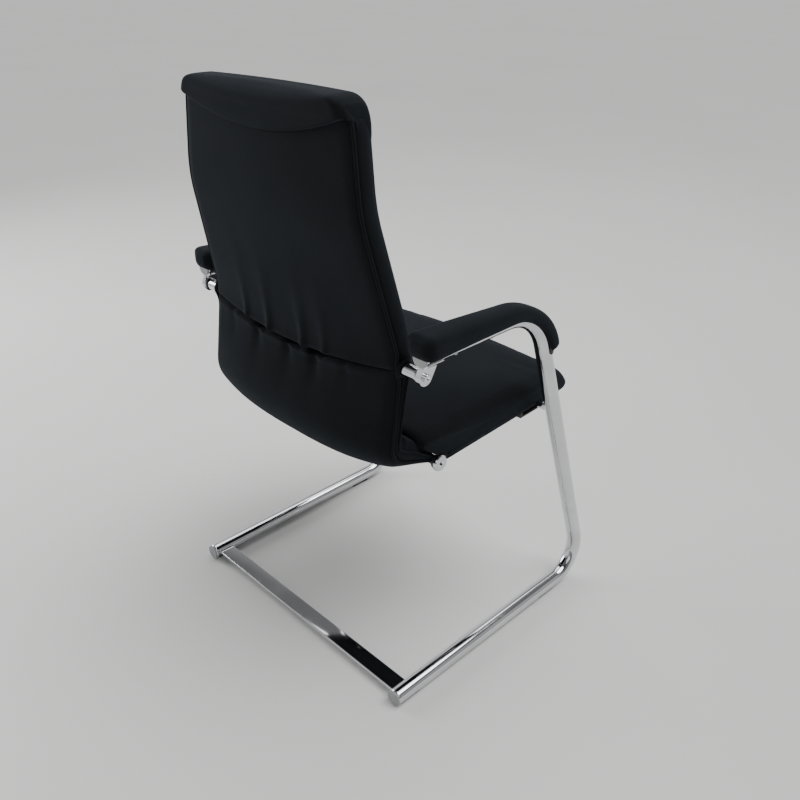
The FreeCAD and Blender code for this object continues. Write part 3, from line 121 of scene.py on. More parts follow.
def surface(name, grid, around=False, sharp=None):
    """Mesh over a grid of points in millimetres, whose columns join round if asked. Its UV map gives each
    point's place along the two directions of the grid, in metres, as a cloth's own threads."""
    grid = np.asarray(grid, float)
    if around:
        grid = np.concatenate([grid, grid[:, :1]], 1)
    rows, columns, _ = grid.shape
    across = np.linalg.norm(np.diff(grid, axis=1), axis=2)
    across = np.concatenate([np.zeros((rows, 1)), np.cumsum(across, axis=1)], 1)
    along = np.linalg.norm(np.diff(grid, axis=0), axis=2).mean(axis=1)
    along = np.concatenate([[0], np.cumsum(along)])
    place = np.stack([across, np.broadcast_to(along[:, None], (rows, columns))], 2) / 1000
    index = np.arange(rows * columns).reshape(rows, columns)
    quads = np.stack([index[:-1, :-1], index[:-1, 1:], index[1:, 1:], index[1:, :-1]], 2).reshape(-1, 4)
    mesh = bpy.data.meshes.new(name)
    mesh.from_pydata((grid.reshape(-1, 3) / 1000).tolist(), [], quads.tolist())
    threads = mesh.uv_layers.new(name="Threads")
    threads.data.foreach_set("uv", place.reshape(-1, 2)[quads.ravel()].ravel())
    work = bmesh.new()
    work.from_mesh(mesh)
    bmesh.ops.remove_doubles(work, verts=work.verts, dist=2e-6)
    bmesh.ops.recalc_face_normals(work, faces=work.faces)
    work.to_mesh(mesh)
    work.free()
    mesh.shade_smooth()
    if sharp is not None:
        mesh.set_sharp_from_angle(angle=math.radians(sharp))
    piece = bpy.data.objects.new(name, mesh)
    bpy.context.scene.collection.objects.link(piece)
    return piece


def sweep(name, line, radius, reference, puff=0.0, sides=48):
    """Round rod along a line: circles square to the line, set out from the reference direction."""
    line = np.asarray(line, float)
    direction = unit(np.gradient(line, axis=0))
    first = unit(np.cross(direction, np.asarray(reference, float)))
    second = np.cross(direction, first)
    angle = np.linspace(0, 2 * np.pi, sides, endpoint=False)[None, :, None]
    radius = np.broadcast_to(np.asarray(radius, float), len(line))[:, None, None]
    loops = line[:, None] + radius * (np.cos(angle) * first[:, None] + np.sin(angle) * second[:, None])
    return surface(name, capped(loops, -direction[0], direction[-1], puff), around=True)


def in_plane(line, x):
    """A line of the YZ plane, set at a distance from the middle."""
    return np.concatenate([np.broadcast_to(np.asarray(x, float).reshape(-1, 1), (len(line), 1)), line], 1)


# Finishes

class Value:
    """A number that varies over a surface. Sums of such values add their Math nodes."""

    def __init__(self, finish, socket):
        self.finish = finish
        self.socket = socket

    def math(self, operation, *inputs):
        return self.finish.node("ShaderNodeMath", {"operation": operation}, dict(enumerate(inputs)))

    def __add__(self, other):
        return self.math("ADD", self, other)

    def __sub__(self, other):
        return self.math("SUBTRACT", self, other)

    def __mul__(self, other):
        return self.math("MULTIPLY", self, other)

    __radd__ = __add__
    __rmul__ = __mul__

    def wave(self, turns):
        """Sine of so many turns for each unit."""
        return self.math("SINE", self * (2 * math.pi * turns))

    def size(self):
        return self.math("ABSOLUTE", self)

    def above(self, low, high):
        """0 below low and 1 above high."""
        return self.finish.node("ShaderNodeMapRange", {"interpolation_type": "SMOOTHSTEP"},
                                {"Value": self, "From Min": low, "From Max": high})


class Finish:
    """One material: its shader, and the nodes that feed it."""

    def __init__(self, name, **constants):
        self.material = bpy.data.materials.new(name)
        self.material.use_nodes = True
        self.tree = self.material.node_tree
        self.shader = next(node for node in self.tree.nodes if node.type == "BSDF_PRINCIPLED")
        self.feed(self.shader, {key.replace("_", " "): value for key, value in constants.items()})

    def feed(self, node, inputs):
        for key, value in inputs.items():
            if isinstance(value, Value):
                self.tree.links.new(value.socket, node.inputs[key])
            else:
                node.inputs[key].default_value = value

    def node(self, kind, settings=None, inputs=None, output=0):
        node = self.tree.nodes.new(kind)
        for key, value in (settings or {}).items():
            if key == "stops":
                for k, (place, colour) in enumerate(value):
                    stop = node.color_ramp.elements[k] if k < 2 else node.color_ramp.elements.new(place)
                    stop.position, stop.color = place, (*colour, 1)
            else:
                setattr(node, key, value)
        self.feed(node, inputs or {})
        return Value(self, node.outputs[output])

    def place(self, *stretch):
        """The point on the object, with each axis stretched."""
        here = self.node("ShaderNodeTexCoord", output="Object")
        if not stretch:
            return here
        return self.node("ShaderNodeMapping", None, {"Vector": here, "Scale": stretch})

    def thread(self):
        """How far a point is along the cloth's two directions, in metres."""
        map_uv = self.node("ShaderNodeUVMap", {"uv_map": "Threads"})
        return [self.node("ShaderNodeSeparateXYZ", None, {0: map_uv}, output=k) for k in (0, 1)]

    def noise(self, scale, detail=3.0, rough=0.5, at=None):
        return self.node("ShaderNodeTexNoise", None, {"Vector": at or self.place(), "Scale": scale,
                                                      "Detail": detail, "Roughness": rough})

    def colours(self, part, *stops):
        return self.node("ShaderNodeValToRGB", {"stops": stops}, {0: part})

    def finish(self, colour=None, roughness=None, height=None, depth=0.001, strength=1.0):
        """Feed what varies to the shader: colour, roughness, and a relief of some depth in metres."""
        if colour is not None:
            self.feed(self.shader, {"Base Color": colour})
        if roughness is not None:
            self.feed(self.shader, {"Roughness": roughness})
        if height is not None:
            relief = self.node("ShaderNodeBump", None, {"Height": height, "Distance": depth,
                                                        "Strength": strength})
            self.feed(self.shader, {"Normal": relief})
        return self.material


def chrome():
    """Polished chrome: mirror finish with faint wiping marks and a slight ripple of the bent tube."""
    made = Finish("polished_chrome", Metallic=1.0)
    wiped = made.noise(9, 4, at=made.place(1, 1, 3))
    spots = made.noise(140, 2)
    tone = made.colours(wiped, (0.3, (0.60, 0.61, 0.625)), (0.7, (0.69, 0.70, 0.715)))
    rough = 0.045 + 0.07 * wiped.above(0.45, 0.75) + 0.03 * spots.above(0.6, 0.8)
    return made.finish(tone, rough, made.noise(28, 2), 0.0002, 0.25)


def satin_plastic(name, dark, light, grain=900):
    """Moulded plastic: fine spark-eroded grain and slightly uneven gloss."""
    made = Finish(name, Specular_IOR_Level=0.45)
    cloud = made.noise(22, 3)
    tone = made.colours(cloud, (0.3, dark), (0.7, light))
    return made.finish(tone, 0.38 + 0.16 * cloud, made.noise(grain, 2), 0.0002, 0.5)


def plated_steel():
    """Zinc-plated screws: mottled, half-bright metal."""
    made = Finish("zinc_plated_steel", Metallic=1.0)
    spangle = made.noise(260, 3)
    tone = made.colours(spangle, (0.3, (0.46, 0.47, 0.49)), (0.7, (0.66, 0.66, 0.64)))
    return made.finish(tone, 0.26 + 0.2 * spangle, spangle, 0.0001, 0.4)


def coated_steel():
    """Black powder coat: orange-peel skin with semi-gloss."""
    made = Finish("black_powder_coat", Specular_IOR_Level=0.5)
    peel = made.noise(420, 3)
    worn = made.noise(30, 4)
    tone = made.colours(worn, (0.35, (0.016, 0.016, 0.017)), (0.75, (0.034, 0.034, 0.035)))
    return made.finish(tone, 0.34 + 0.2 * worn, peel, 0.0003, 0.6)


def plywood():
    """Bent beech plywood, left raw: long grain across the seat and fine open pores."""
    made = Finish("beech_plywood", Specular_IOR_Level=0.35)
    flow = made.noise(6, 5, 0.6, at=made.place(1.2, 14, 14))
    pores = made.noise(160, 2, at=made.place(1, 9, 9))
    tone = made.colours(flow * 0.75 + pores * 0.25, (0.25, (0.40, 0.25, 0.13)), (0.5, (0.54, 0.37, 0.21)),
                        (0.8, (0.64, 0.46, 0.28)))
    return made.finish(tone, 0.5 + 0.2 * pores, pores + flow * 0.5, 0.0003, 0.5)


def black_cloth():
    """Black upholstery cloth: a plain weave of slubby threads, mottled by use, with a dull sheen."""
    made = Finish("black_cloth", Sheen_Weight=0.06, Sheen_Roughness=0.5, Sheen_Tint=(0.62, 0.76, 0.95, 1),
                  Specular_IOR_Level=0.065)
    weft, warp = made.thread()
    slub = made.noise(420, 2, at=made.place(1, 1, 3))
    over = weft.wave(620) * warp.wave(620)
    rib = warp.wave(310).size()
    weave = 0.5 + over * 0.32 + rib * 0.18 + (slub - 0.5) * 0.7
    worn = made.noise(11, 4)
    tone = made.colours(worn * 0.55 + slub * 0.25 + weave * 0.2, (0.25, (0.0038, 0.0048, 0.0060)),
                        (0.5, (0.0070, 0.0082, 0.0095)), (0.8, (0.0120, 0.0135, 0.0150)))
    return made.finish(tone, 0.84 + 0.12 * worn, weave + made.noise(70, 3) * 0.8, 0.0005, 0.55)


def pale_floor():
    """Matt pale floor, faintly clouded."""
    made = Finish("pale_floor", Specular_IOR_Level=0.25)
    cloud = made.noise(0.9, 3)
    tone = made.colours(cloud, (0.3, (0.66, 0.656, 0.648)), (0.7, (0.69, 0.686, 0.678)))
    return made.finish(tone, 0.6 + 0.1 * cloud)


CHROME = chrome()
GREY_PLASTIC = satin_plastic("satin_grey_plastic", (0.27, 0.28, 0.285), (0.36, 0.365, 0.37))
BLACK_PLASTIC = satin_plastic("black_plastic", (0.012, 0.012, 0.013), (0.026, 0.026, 0.027), 700)
ZINC = plated_steel()
BLACK_STEEL = coated_steel()
PLYWOOD = plywood()
CLOTH = black_cloth()
FINISHES = {"chrome": CHROME, "grey_plastic": GREY_PLASTIC, "black_plastic": BLACK_PLASTIC,
            "zinc_steel": ZINC, "black_steel": BLACK_STEEL, "plywood": PLYWOOD, "black_fabric": CLOTH}


def dress_nodes():
    """Each CAD node takes the finish of the slot that the record gives it."""
    for part in frame["record"]["subparts"]:
        node = frame["nodes"][part["node"]]
        for slot in node.material_slots:
            slot.link = "OBJECT"
            slot.material = FINISHES[part["material_slot"]]


def fit(piece, material, body, *stands_for, slot=None):
    """Give a piece its finish and body, and hide the nodes it stands for. The slot is not used."""
    piece.data.materials.clear()
    piece.data.materials.append(material)
    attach(piece, body)
    if stands_for:
        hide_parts(*stands_for)
    return piece


def in_cloth(piece, body, *stands_for):
    """A piece of black cloth on a body."""
    return fit(piece, CLOTH, body, *stands_for, slot="black_fabric")


def in_chrome(piece, node):
    """A chromed piece of the frame, which stands for a node."""
    return fit(piece, CHROME, "frame", node, slot="chrome")


def places(piece):
    """A piece's points in millimetres, as x, y and z."""
    points = np.empty(len(piece.data.vertices) * 3, np.float32)
    piece.data.vertices.foreach_get("co", points)
    return points.reshape(-1, 3).T * 1000


def plump(piece, held, reach):
    """Cloth blown up from inside. Each point's travel is capped, at the reach in metres where the weight that
    holds it is 0, down to nothing where it is 1."""
    count = len(piece.data.vertices)
    start, blown = np.empty(count * 3, np.float32), np.empty(count * 3, np.float32)
    piece.data.vertices.foreach_get("co", start)
    held = np.round(np.broadcast_to(np.clip(held, 0, 1), count), 1)
    group = piece.vertex_groups.new(name="held")
    for weight in np.unique(held):
        group.add(np.flatnonzero(held == weight).tolist(), float(weight), "REPLACE")
    cloth = piece.modifiers.new("blown_up", "CLOTH")
    cloth.settings.quality = 4
    cloth.settings.vertex_group_mass = "held"
    cloth.settings.use_pressure = True
    cloth.settings.uniform_pressure_force = 4.0
    cloth.settings.effector_weights.gravity = 0
    cloth.collision_settings.use_collision = False
    for number in range(1, 15):
        bpy.context.scene.frame_set(number)
    piece.evaluated_get(bpy.context.evaluated_depsgraph_get()).data.vertices.foreach_get("co", blown)
    piece.modifiers.remove(cloth)
    piece.vertex_groups.remove(group)
    bpy.context.scene.frame_set(1)
    step = (blown - start).reshape(-1, 3)
    size = np.linalg.norm(step, axis=1, keepdims=True) + 1e-9
    limit = reach * (1 - held[:, None]) + 1e-6
    step = step / size * limit * np.tanh(size / limit)
    piece.data.vertices.foreach_set("co", (start + step.ravel()).astype(np.float32))
    piece.data.update()


# Chromed frame

TRACK_HALF = 276
TUBE_R = 14
ARM_Z = 625
LEAN = math.radians(18)
RUNNER_Z = 16
# Where the leg's line would meet the runner's
LOW_CORNER_Y = -266
# The rear cross tube, which carries the back, and the front one, which the seat slides on
PIVOT_Y = 184
PIVOT_Z = 594
FRONT_TUBE_Y = -135.06
FRONT_TUBE_Z = 419


def side_line(arm_end=190.0):
    """Centre line of a side tube and its direction: arm, bend, leaning leg, bend and runner."""
    top = LOW_CORNER_Y + (ARM_Z - RUNNER_Z) * math.tan(LEAN)
    corners = [(arm_end, ARM_Z), (top, ARM_Z), (LOW_CORNER_Y, RUNNER_Z), (255, RUNNER_Z)]
    return rounded_line(corners, (100, 60), 4.0)


def flat_section(angle, wide, high, radius):
    """Rectangle of half width and half height with round corners: a corner circle pushed out to each side."""
    cos, sin = np.cos(angle), np.sin(angle)
    return np.stack([np.sign(cos) * (wide - radius) + radius * cos, np.sign(sin) * (high - radius) + radius * sin], 1)


def chromed_frame():
    """Round rods along the side tubes and cross tubes, and a flat section carried across for the rear bar."""
    line, _ = side_line()
    for side, sign in SIDES:
        in_chrome(sweep("tube_" + side, in_plane(line, sign * TRACK_HALF), TUBE_R, (1, 0, 0), sides=72),
                  "side_tube_" + side)
    for name, radius, reach, y, z in (("rear_tube", 10, 272, PIVOT_Y, PIVOT_Z),
                                      ("front_tube", 8, 264.5, FRONT_TUBE_Y, FRONT_TUBE_Z)):
        line = np.stack([np.linspace(-reach, reach, 60), np.full(60, y), np.full(60, z)], 1)
        in_chrome(sweep(name, line, radius, (0, 0, 1), sides=64), name.replace("tube", "cross_tube"))
    section = flat_section(np.linspace(0, 2 * np.pi, 96, endpoint=False), 16, 3, 2) + (231, RUNNER_Z)
    loops = np.stack([in_plane(section, x) for x in np.linspace(-262.3, 262.3, 40)])
    in_chrome(surface("flat_bar", capped(loops, (-1, 0, 0), (1, 0, 0), 0), around=True, sharp=40),
              "rear_cross_bar")


# Back

HINGE = np.array([118.0, 408.0])
# The way the tail runs, from the hinge up to the rear
TAIL_DIRECTION = np.array([math.cos(math.radians(20)), math.sin(math.radians(20))])
TAIL_OUTWARD = (0, *-TAIL_DIRECTION)
# How far from the hinge the tail's cloth ends
TAIL_END = 7
SEAM_TOP_Z = 940
CREASE_Z = PIVOT_Z
# The seam line at the rear of the back's edge, from the top down and forward into the tail
SEAM_CORNERS = [(228, SEAM_TOP_Z), (232, 815), (187, CREASE_Z), HINGE + TAIL_DIRECTION * 100]
# Half the back's width at the crease and at the top
LOW_HALF = 233
TOP_HALF = 194
# The sloping underside of the seat's rear end, which the tail lies against
WEDGE_LOW = np.array([100.0, 404.2])
WEDGE_TOP = np.array([157.0, 457.0])
WEDGE_DIRECTION = unit(WEDGE_TOP - WEDGE_LOW)


def shoulder(z):
    """How far the back's sides draw in towards its top: a quarter of an ellipse."""
    inward, start, height = 34, 926, 45
    return inward * (1 - np.sqrt(1 - np.clip((z - start) / height, 0, 1) ** 2))


class Seam:
    """The seam line's stations, and the padding at each: half its width, the depth of its side in front of
    the seam, the crown of its face, and how far the rear panel's edge rolls out. The share called tail is 1 in the
    tail and 0 above it: there the side is as deep as the room below the seat's sloping end."""

    def __init__(self, end, step=5.0):
        self.line, along = rounded_line(SEAM_CORNERS + [HINGE + TAIL_DIRECTION * end], (300, 60, 36), step)
        self.forward = np.stack([along[:, 1], -along[:, 0]], 1)
        self.z = z = self.line[:, 1]
        self.from_hinge = np.linalg.norm(self.line - HINGE, axis=1)
        rise = np.clip((z - CREASE_Z) / (SEAM_TOP_Z - CREASE_Z), 0, 1)
        self.tail = tail = 1 - ease(z, 442, 462)
        above = ease(z, CREASE_Z - 60, CREASE_Z + 60)
        near_tail = ease(CREASE_Z - z, 60, 125)
        self.half = mix(LOW_HALF, TOP_HALF, rise) - shoulder(z)
        self.side = mix(mix(20, 36, above), 15, tail)
        self.crown = mix(mix(16, 10, near_tail), 0, tail)
        wedge, corner = WEDGE_DIRECTION, WEDGE_LOW - self.line
        to_seat = (corner[:, 0] * wedge[1] - corner[:, 1] * wedge[0]) / (
            self.forward[:, 0] * wedge[1] - self.forward[:, 1] * wedge[0])
        self.side = mix(self.side, np.clip(to_seat + 0.8, 8, 36), tail)
        self.roll = mix(9, 6, above) + 3 * bump(z, CREASE_Z, 20)

    def keep(self, chosen):
        """Leave only the chosen stations."""
        for name, values in list(vars(self).items()):
            setattr(self, name, values[chosen])

    def at(self, x, depth):
        """Points at a distance from the middle and a depth in front of the seam line."""
        x, depth = np.broadcast_arrays(x, depth)
        yz = self.line[:, None] + self.forward[:, None] * depth[..., None]
        return np.concatenate([x[..., None], yz], 2)


def front_cushion():
    """Closed loops square to the seam line: crowned face, sides that bulge by up to 5 mm between their seams,
    and a flat rear, which the rear panels cover. The tail's sides are wrinkled."""
    seam = Seam(TAIL_END)
    half, side, crown = (v[:, None] for v in (seam.half, seam.side, seam.crown))
    across = np.linspace(1, -1, 81)[None]
    edge = half - 5
    face_x, face_n = across * edge, side + crown * (1 - across ** 2)
    down = np.linspace(1, 0, 12)[None, 1:-1]
    gusset_x = mix(half, edge, down) + 5 * (4 * down * (1 - down))
    gusset_n = side * down
    rear_x = np.linspace(-1, 1, 61)[None] * half
    x = np.concatenate([face_x, -gusset_x, rear_x, gusset_x[:, ::-1]], 1)
    depth = np.concatenate([face_n, gusset_n, np.zeros_like(rear_x), gusset_n[:, ::-1]], 1)
    wrinkle = seam.tail[:, None] * np.sin(2.75 * np.arange(1, len(seam.z) + 1))[:, None] * 0.9
    x = x + np.sign(x) * wrinkle * bump(depth, side / 2, 5)
    loops = softened(seam.at(x, depth), 2)
    piece = surface("front_cushion", capped(loops, (0, 0, 1), TAIL_OUTWARD, 2), around=True)
    x, y, z = places(piece)
    free = bump(x, 0, 150) * ease(z, 500, 560) * ease(930 - z, 0, 40) * ease(215 - y, 0, 20)
    plump(piece, 1 - free, 0.004)
    in_cloth(piece, "back", "back_cushion")


# Where the cloth is gathered at the crease: open slots, each with its middle and half its length, and pleats
# above and hollows below them, each with its place and strength
SLOTS = ((78, 15), (-10, 21), (-68, 20))
PLEATS = ((120, 0.8), (53, 1.0), (-37, 1.0), (-88, 0.6))
HOLLOWS = ((94, 1.0), (10, 1.0), (-58, 1.2), (-130, 0.35), (170, 0.35))


def fan(marks, x, drop, width, spread, lean):
    """Marks that start at the crease, widen and fade with the drop from it, and lean to the left."""
    return sum(force * bump(x, place + lean * drop, width + 0.14 * drop) * np.exp(-drop / spread)
               for place, force in marks)


def slot_mask(x):
    """1 inside a slot, 0 outside, with ends that close within a few millimetres."""
    return sum(ease(reach + 3 - np.abs(x - place), 0, 6) for place, reach in SLOTS)


def rear_cover(name, node, upper):
    """Rear panel above or below the crease: crowned between edges rolled in a quarter of an ellipse, and drawn
    in at the crease, which sags in the middle, with slots, pleats and hollows that fade away from it."""
    seam = Seam(TAIL_END, 3.0)
    seam.keep(seam.z >= CREASE_Z if upper else seam.z <= CREASE_Z)
    half, roll, z = (v[:, None] for v in (seam.half, seam.roll, seam.z))
    even = np.linspace(-1, 1, 133)[None]
    side = 0.35 * np.sin(even * np.pi / 2) + 0.65 * even
    x = side * half
    drop = np.abs(z - CREASE_Z)
    sag = (3 + 18 * (1 - side ** 2)) * bump(drop, 0, 60)
    over_tube = bump(z - sag, CREASE_Z, 15)
    from_edge = (half - np.abs(x)) / (22 - 12 * over_tube)
    edge = np.sqrt(np.clip(1 - (1 - np.clip(from_edge, 0, 1)) ** 2, 0, 1))
    if upper:
        crown = 5 + 10 * bump(drop, 0, 75)
        folds = 6.5 * fan(PLEATS, x, drop, 5, 45, 0.05)
    else:
        crown = mix(15, 27, ease(drop, 40, 130)) * mix(0.3, 1, ease(seam.from_hinge, 12, 65)[:, None])
        folds = -8 * fan(HOLLOWS, x, drop, 7, 36, -0.12)
    lip = 3.5 * bump(drop, 9, 7) * (1 - side ** 2)
    swell = 1 - side ** 2 if upper else 1 - np.abs(side) ** 2.8
    full = edge * (roll + crown * swell + lip + folds)
    slots = slot_mask(x) * np.exp(-drop / 5)
    drawn_in = full * (1 - (0.42 + 0.4 * slots) * np.exp(-drop / 4))
    # Never so shallow that the tube at the edges, or the pivot blocks further in, would show
    least = mix(8.2 * over_tube, 11.2 * ease(34 - drop, 0, 12), ease(half - np.abs(x), 10, 40))
    depth = -np.maximum(drawn_in, least)
    sag = sag + (-1 if upper else 8) * slots
    outer = seam.at(x, depth) - sag[..., None] * (0, 0, 1)
    inner = seam.at(x[:, ::-1] * 0.97, np.full_like(depth, 2.0)) - sag[:, ::-1, None] * (0, 0, 1)
    loops = np.concatenate([outer, inner], 1)
    piece = surface(name, capped(loops, (0, 0, 1), (0, 0, -1) if upper else TAIL_OUTWARD, 0.5), around=True)
    in_cloth(piece, "back", node)


def head_roll():
    """Cushion's top folded to the rear: flush with the cushion in front and at its sides, rounded above, with
    a lip whose edge hangs lower in the middle."""
    even = np.linspace(-1, 1, 111)
    rows = []
    for share in 0.5 * np.sin(even * np.pi / 2) + 0.5 * even:
        swell = 1 - share ** 2
        front, low = 191 - 16 * swell, 944 - 35 * swell
        rear, base, top = 246, 904, 969
        corners = [(front, base), (front + 1, top - 0.5), (rear, top), (rear, low), (230, low - 1), (224, base)]
        line = np.concatenate([np.linspace(a, b, 24, endpoint=False)
                               for a, b in zip(corners, corners[1:] + corners[:1])])
        line = softened(softened(line, 6), 5)
        half = TOP_HALF - 1
        to_end = min(1, max(0, (abs(share) * half - half + 16) / 16))
        line = mix(line, (212, 928), 0.26 * (1 - math.sqrt(1 - to_end ** 2)))
        y, z = line.T
        wide = half + 3 * (1 - ((y - 219) / 30) ** 2) - shoulder(z)
        rows.append(in_plane(line, wide * share))
    piece = surface("head_roll_cloth", capped(np.stack(rows), (-1, 0, 0), (1, 0, 0), 3), around=True)
    x, y, z = places(piece)
    plump(piece, 1 - ease(178 - np.abs(x), 0, 30) * ease(z, 925, 945) * ease(y, 200, 215), 0.003)
    in_cloth(piece, "back", "head_roll")


def back_piping():
    """Round rods along the rear panel's side seams, from under the lip down to the hinge, a second pair below
    the crease on the gusset, and a ring where each end of the rear cross tube comes out of the cloth."""
    seam = Seam(TAIL_END + 2, 4.0)
    for side, sign in SIDES:
        x = sign * (seam.half + 0.5)
        points = seam.line - seam.forward * (0.5 + 8 * bump(seam.z, CREASE_Z, 15))[:, None]
        line = np.concatenate([x[:, None], points], 1)
        in_cloth(sweep("side_piping_" + side, line, 2.6, (1, 0, 0), 1.5, 14), "back")
        lower = seam.z < CREASE_Z - 9
        depth = mix(1.0, seam.side, 0.5)[lower, None]
        x = sign * (seam.half[lower] + 3.2)
        line = np.concatenate([x[:, None], seam.line[lower] + seam.forward[lower] * depth], 1)
        in_cloth(sweep("gusset_piping_" + side, line, 2.0, (1, 0, 0), 1.0, 12), "back")
        ring = np.linspace(0, 2 * np.pi, 64)
        line = np.stack([sign * (LOW_HALF + 3.5 + 2 * np.sin(ring)), PIVOT_Y + 12 * np.cos(ring),
                         PIVOT_Z + 12 * np.sin(ring)], 1)
        in_cloth(sweep("tube_eyelet_" + side, line, 2.6, (1, 0, 0), 0, 12), "back")


# Seat

SEAT_HALF = 243
NOSE_Y = -222
# The lining's half width, its ends in front and behind, and how deep it is let in
LINING_HALF = 228
LINING_FRONT_Y = -191
LINING_REAR_Y = 104
LINING_DEPTH = 17.2


def seat_base(y):
    """Height of the seat's lower edge, which slopes down to the rear by 2.5 degrees."""
    return 414.5 - (y - FRONT_TUBE_Y) * math.tan(math.radians(2.5))


def point(y, z):
    """A point of the YZ plane."""
    return np.array([y, z], float)


def straight(first, last, count):
    """Evenly spaced points from first up to last, without last itself."""
    return np.linspace(first, last, count, endpoint=False)


def curve(first, control, last, count):
    """Quadratic curve from first to last that leans towards the control point."""
    t = np.linspace(0, 1, count, endpoint=False)[:, None]
    return (1 - t) ** 2 * first + 2 * t * (1 - t) * control + t ** 2 * last


def seat_section(share):
    """Side view of the cushion at a share of its half width: crowned top, round nose, wedge over the tail.
    Nose and rear bow out by 6 mm in the middle, and all of it draws in by up to 7 mm at the sides."""
    rise = 1 - 0.9 * share ** 2 - 1.3 * share ** 16
    inset = -1 + share ** 2 + share ** 24
    draw = 7 * max(0, inset) - 6 * max(0, -inset)
    nose, back = NOSE_Y + draw, WEDGE_TOP[0] - draw
    wedge, top = WEDGE_LOW[0] - max(0, draw), 468 + 9 * rise
    low = 0.4 * max(0, draw)
    under, corner = point(nose + 20, seat_base(nose + 20) + low), point(wedge, seat_base(wedge) + low)
    rear, over = point(back, top - 14), point(back - 14, top)
    front, knee = point(nose + 62, top - 1), point(nose, mix(seat_base(nose), top, 0.3))
    return np.concatenate([
        straight(under, corner, 44), straight(corner, rear, 14), curve(rear, point(back, top), over, 6),
        curve(over, point((back + nose) / 2, top + 6), front, 50), curve(front, point(nose + 3, top - 4), knee, 12),
        curve(knee, point(nose, seat_base(nose) + low), under, 7)])


def seat_cushion():
    """Side views carried across the seat, closer together towards its sides. Underneath, the lining is let in
    over the pan, between the side edges, behind the nose and ahead of the sloping rear end."""
    shares = np.linspace(-1, 1, 91)
    shares = np.sign(shares) * np.abs(shares) ** 0.8
    loops = np.stack([in_plane(seat_section(share), SEAT_HALF * share) for share in shares])
    loops = softened(loops, 1)
    x, y, z = np.moveaxis(loops, 2, 0)
    slope = WEDGE_LOW[1] + (y - WEDGE_LOW[0]) * WEDGE_DIRECTION[1] / WEDGE_DIRECTION[0]
    beneath = (z < seat_base(y) + 3) | (z < slope + 6) & (y > 90)
    recess = ease(LINING_HALF - np.abs(x), 0, 5) * ease(y - LINING_FRONT_Y, 0, 5) * ease(LINING_REAR_Y - y, 0, 5)
    loops[..., 2] += np.where(beneath, recess * LINING_DEPTH, 0)
    piece = surface("seat_cushion_cloth", capped(loops, (-1, 0, 0), (1, 0, 0), 4), around=True)
    x, y, z = places(piece)
    plump(piece, 1 - ease(238 - np.abs(x), 0, 30) * ease(z, 440, 456) * ease(140 - y, 0, 20), 0.005)
    in_cloth(piece, "seat", "seat_cushion")


def seat_piping():
    """Two round rods along each of the cushion's lower side edges: the lower one turns up the rear end."""
    start = NOSE_Y + 30
    slope_end = WEDGE_LOW + WEDGE_DIRECTION * 69 - (0, 0.6)
    lower, _ = rounded_line([(start, seat_base(start) + 4), (101, seat_base(101) + 2.6), slope_end], (12,), 4)
    y = np.linspace(start, 96, 70)
    upper = np.stack([y, seat_base(y) + 12], 1)
    for side, sign in SIDES:
        for name, line, out in (("lower", lower, SEAT_HALF - 1), ("upper", upper, SEAT_HALF + 1.5)):
            in_cloth(sweep("seat_piping_%s_%s" % (name, side), in_plane(line, sign * out), 2.2, (1, 0, 0), 1, 12),
                     "seat")


# Arms

# Where an arm pad ends, behind on the arm and below on the leg
PAD_REAR_Y = 197
PAD_LOW_Z = 541


def arm_pad(side, sign):
    """Pad over the arm tube: a rounded box section carried along arm, bend and leg, slimmer towards the front,
    and drawn in to half at its ends by a quarter of an ellipse."""
    line, along = side_line(PAD_REAR_Y)
    keep = line[:, 1] > PAD_LOW_Z
    line, along = line[keep], along[keep]
    up = np.stack([along[:, 1], -along[:, 0]], 1)
    length = np.concatenate([[0], np.cumsum(np.linalg.norm(np.diff(line, axis=0), axis=1))])
    from_end = np.minimum(length, length[-1] - length)
    shut = mix(0.5, 1, np.sqrt(1 - np.clip(1 - from_end / 13, 0, 1) ** 2))
    part = length / length[-1]
    top = np.interp(part, (0, 0.3, 0.5, 0.65, 0.8, 1), (36, 31.5, 27, 23.5, 23.5, 27))
    broad = np.interp(part, (0, 0.3, 0.6, 1), (28, 26, 23, 21))
    top, broad = (np.convolve(np.pad(v, 8, "edge"), np.ones(17) / 17, "valid") for v in (top, broad))
    angle = np.linspace(0, 2 * np.pi, 80, endpoint=False)
    cos, sin = np.cos(angle), np.sin(angle)
    square = np.interp(part, (0, 0.35), (0.75, 1))[:, None]
    wide = np.sign(cos) * np.abs(cos) ** (0.65 * square) * (broad * shut)[:, None]
    high = ((top - 3) / 2)[:, None] + np.sign(sin) * np.abs(sin) ** (0.75 * square) * ((top + 3) / 2 * shut)[:, None]
    x = sign * TRACK_HALF + wide
    yz = line[:, None] + up[:, None] * high[..., None]
    loops = np.concatenate([x[..., None], yz], 2)
    first, last = -along[0], along[-1]
    piece = surface("arm_pad_cloth_" + side, capped(loops, (0, *first), (0, *last), 1.5), around=True)
    x, y, z = places(piece)
    plump(piece, 1 - ease(z, 636, 650) * ease(178 - y, 0, 25) * ease(y + 60, 0, 60), 0.002)
    in_cloth(piece, "frame", "arm_pad_" + side)


# Room and camera

def floor():
    """A pale floor, 60 m across."""
    mesh = bpy.data.meshes.new("floor")
    mesh.from_pydata([(-30, -30, 0), (30, -30, 0), (30, 30, 0), (-30, 30, 0)], [], [(0, 1, 2, 3)])
    ground = bpy.data.objects.new("floor", mesh)
    bpy.context.scene.collection.objects.link(ground)
    mesh.materials.append(pale_floor())


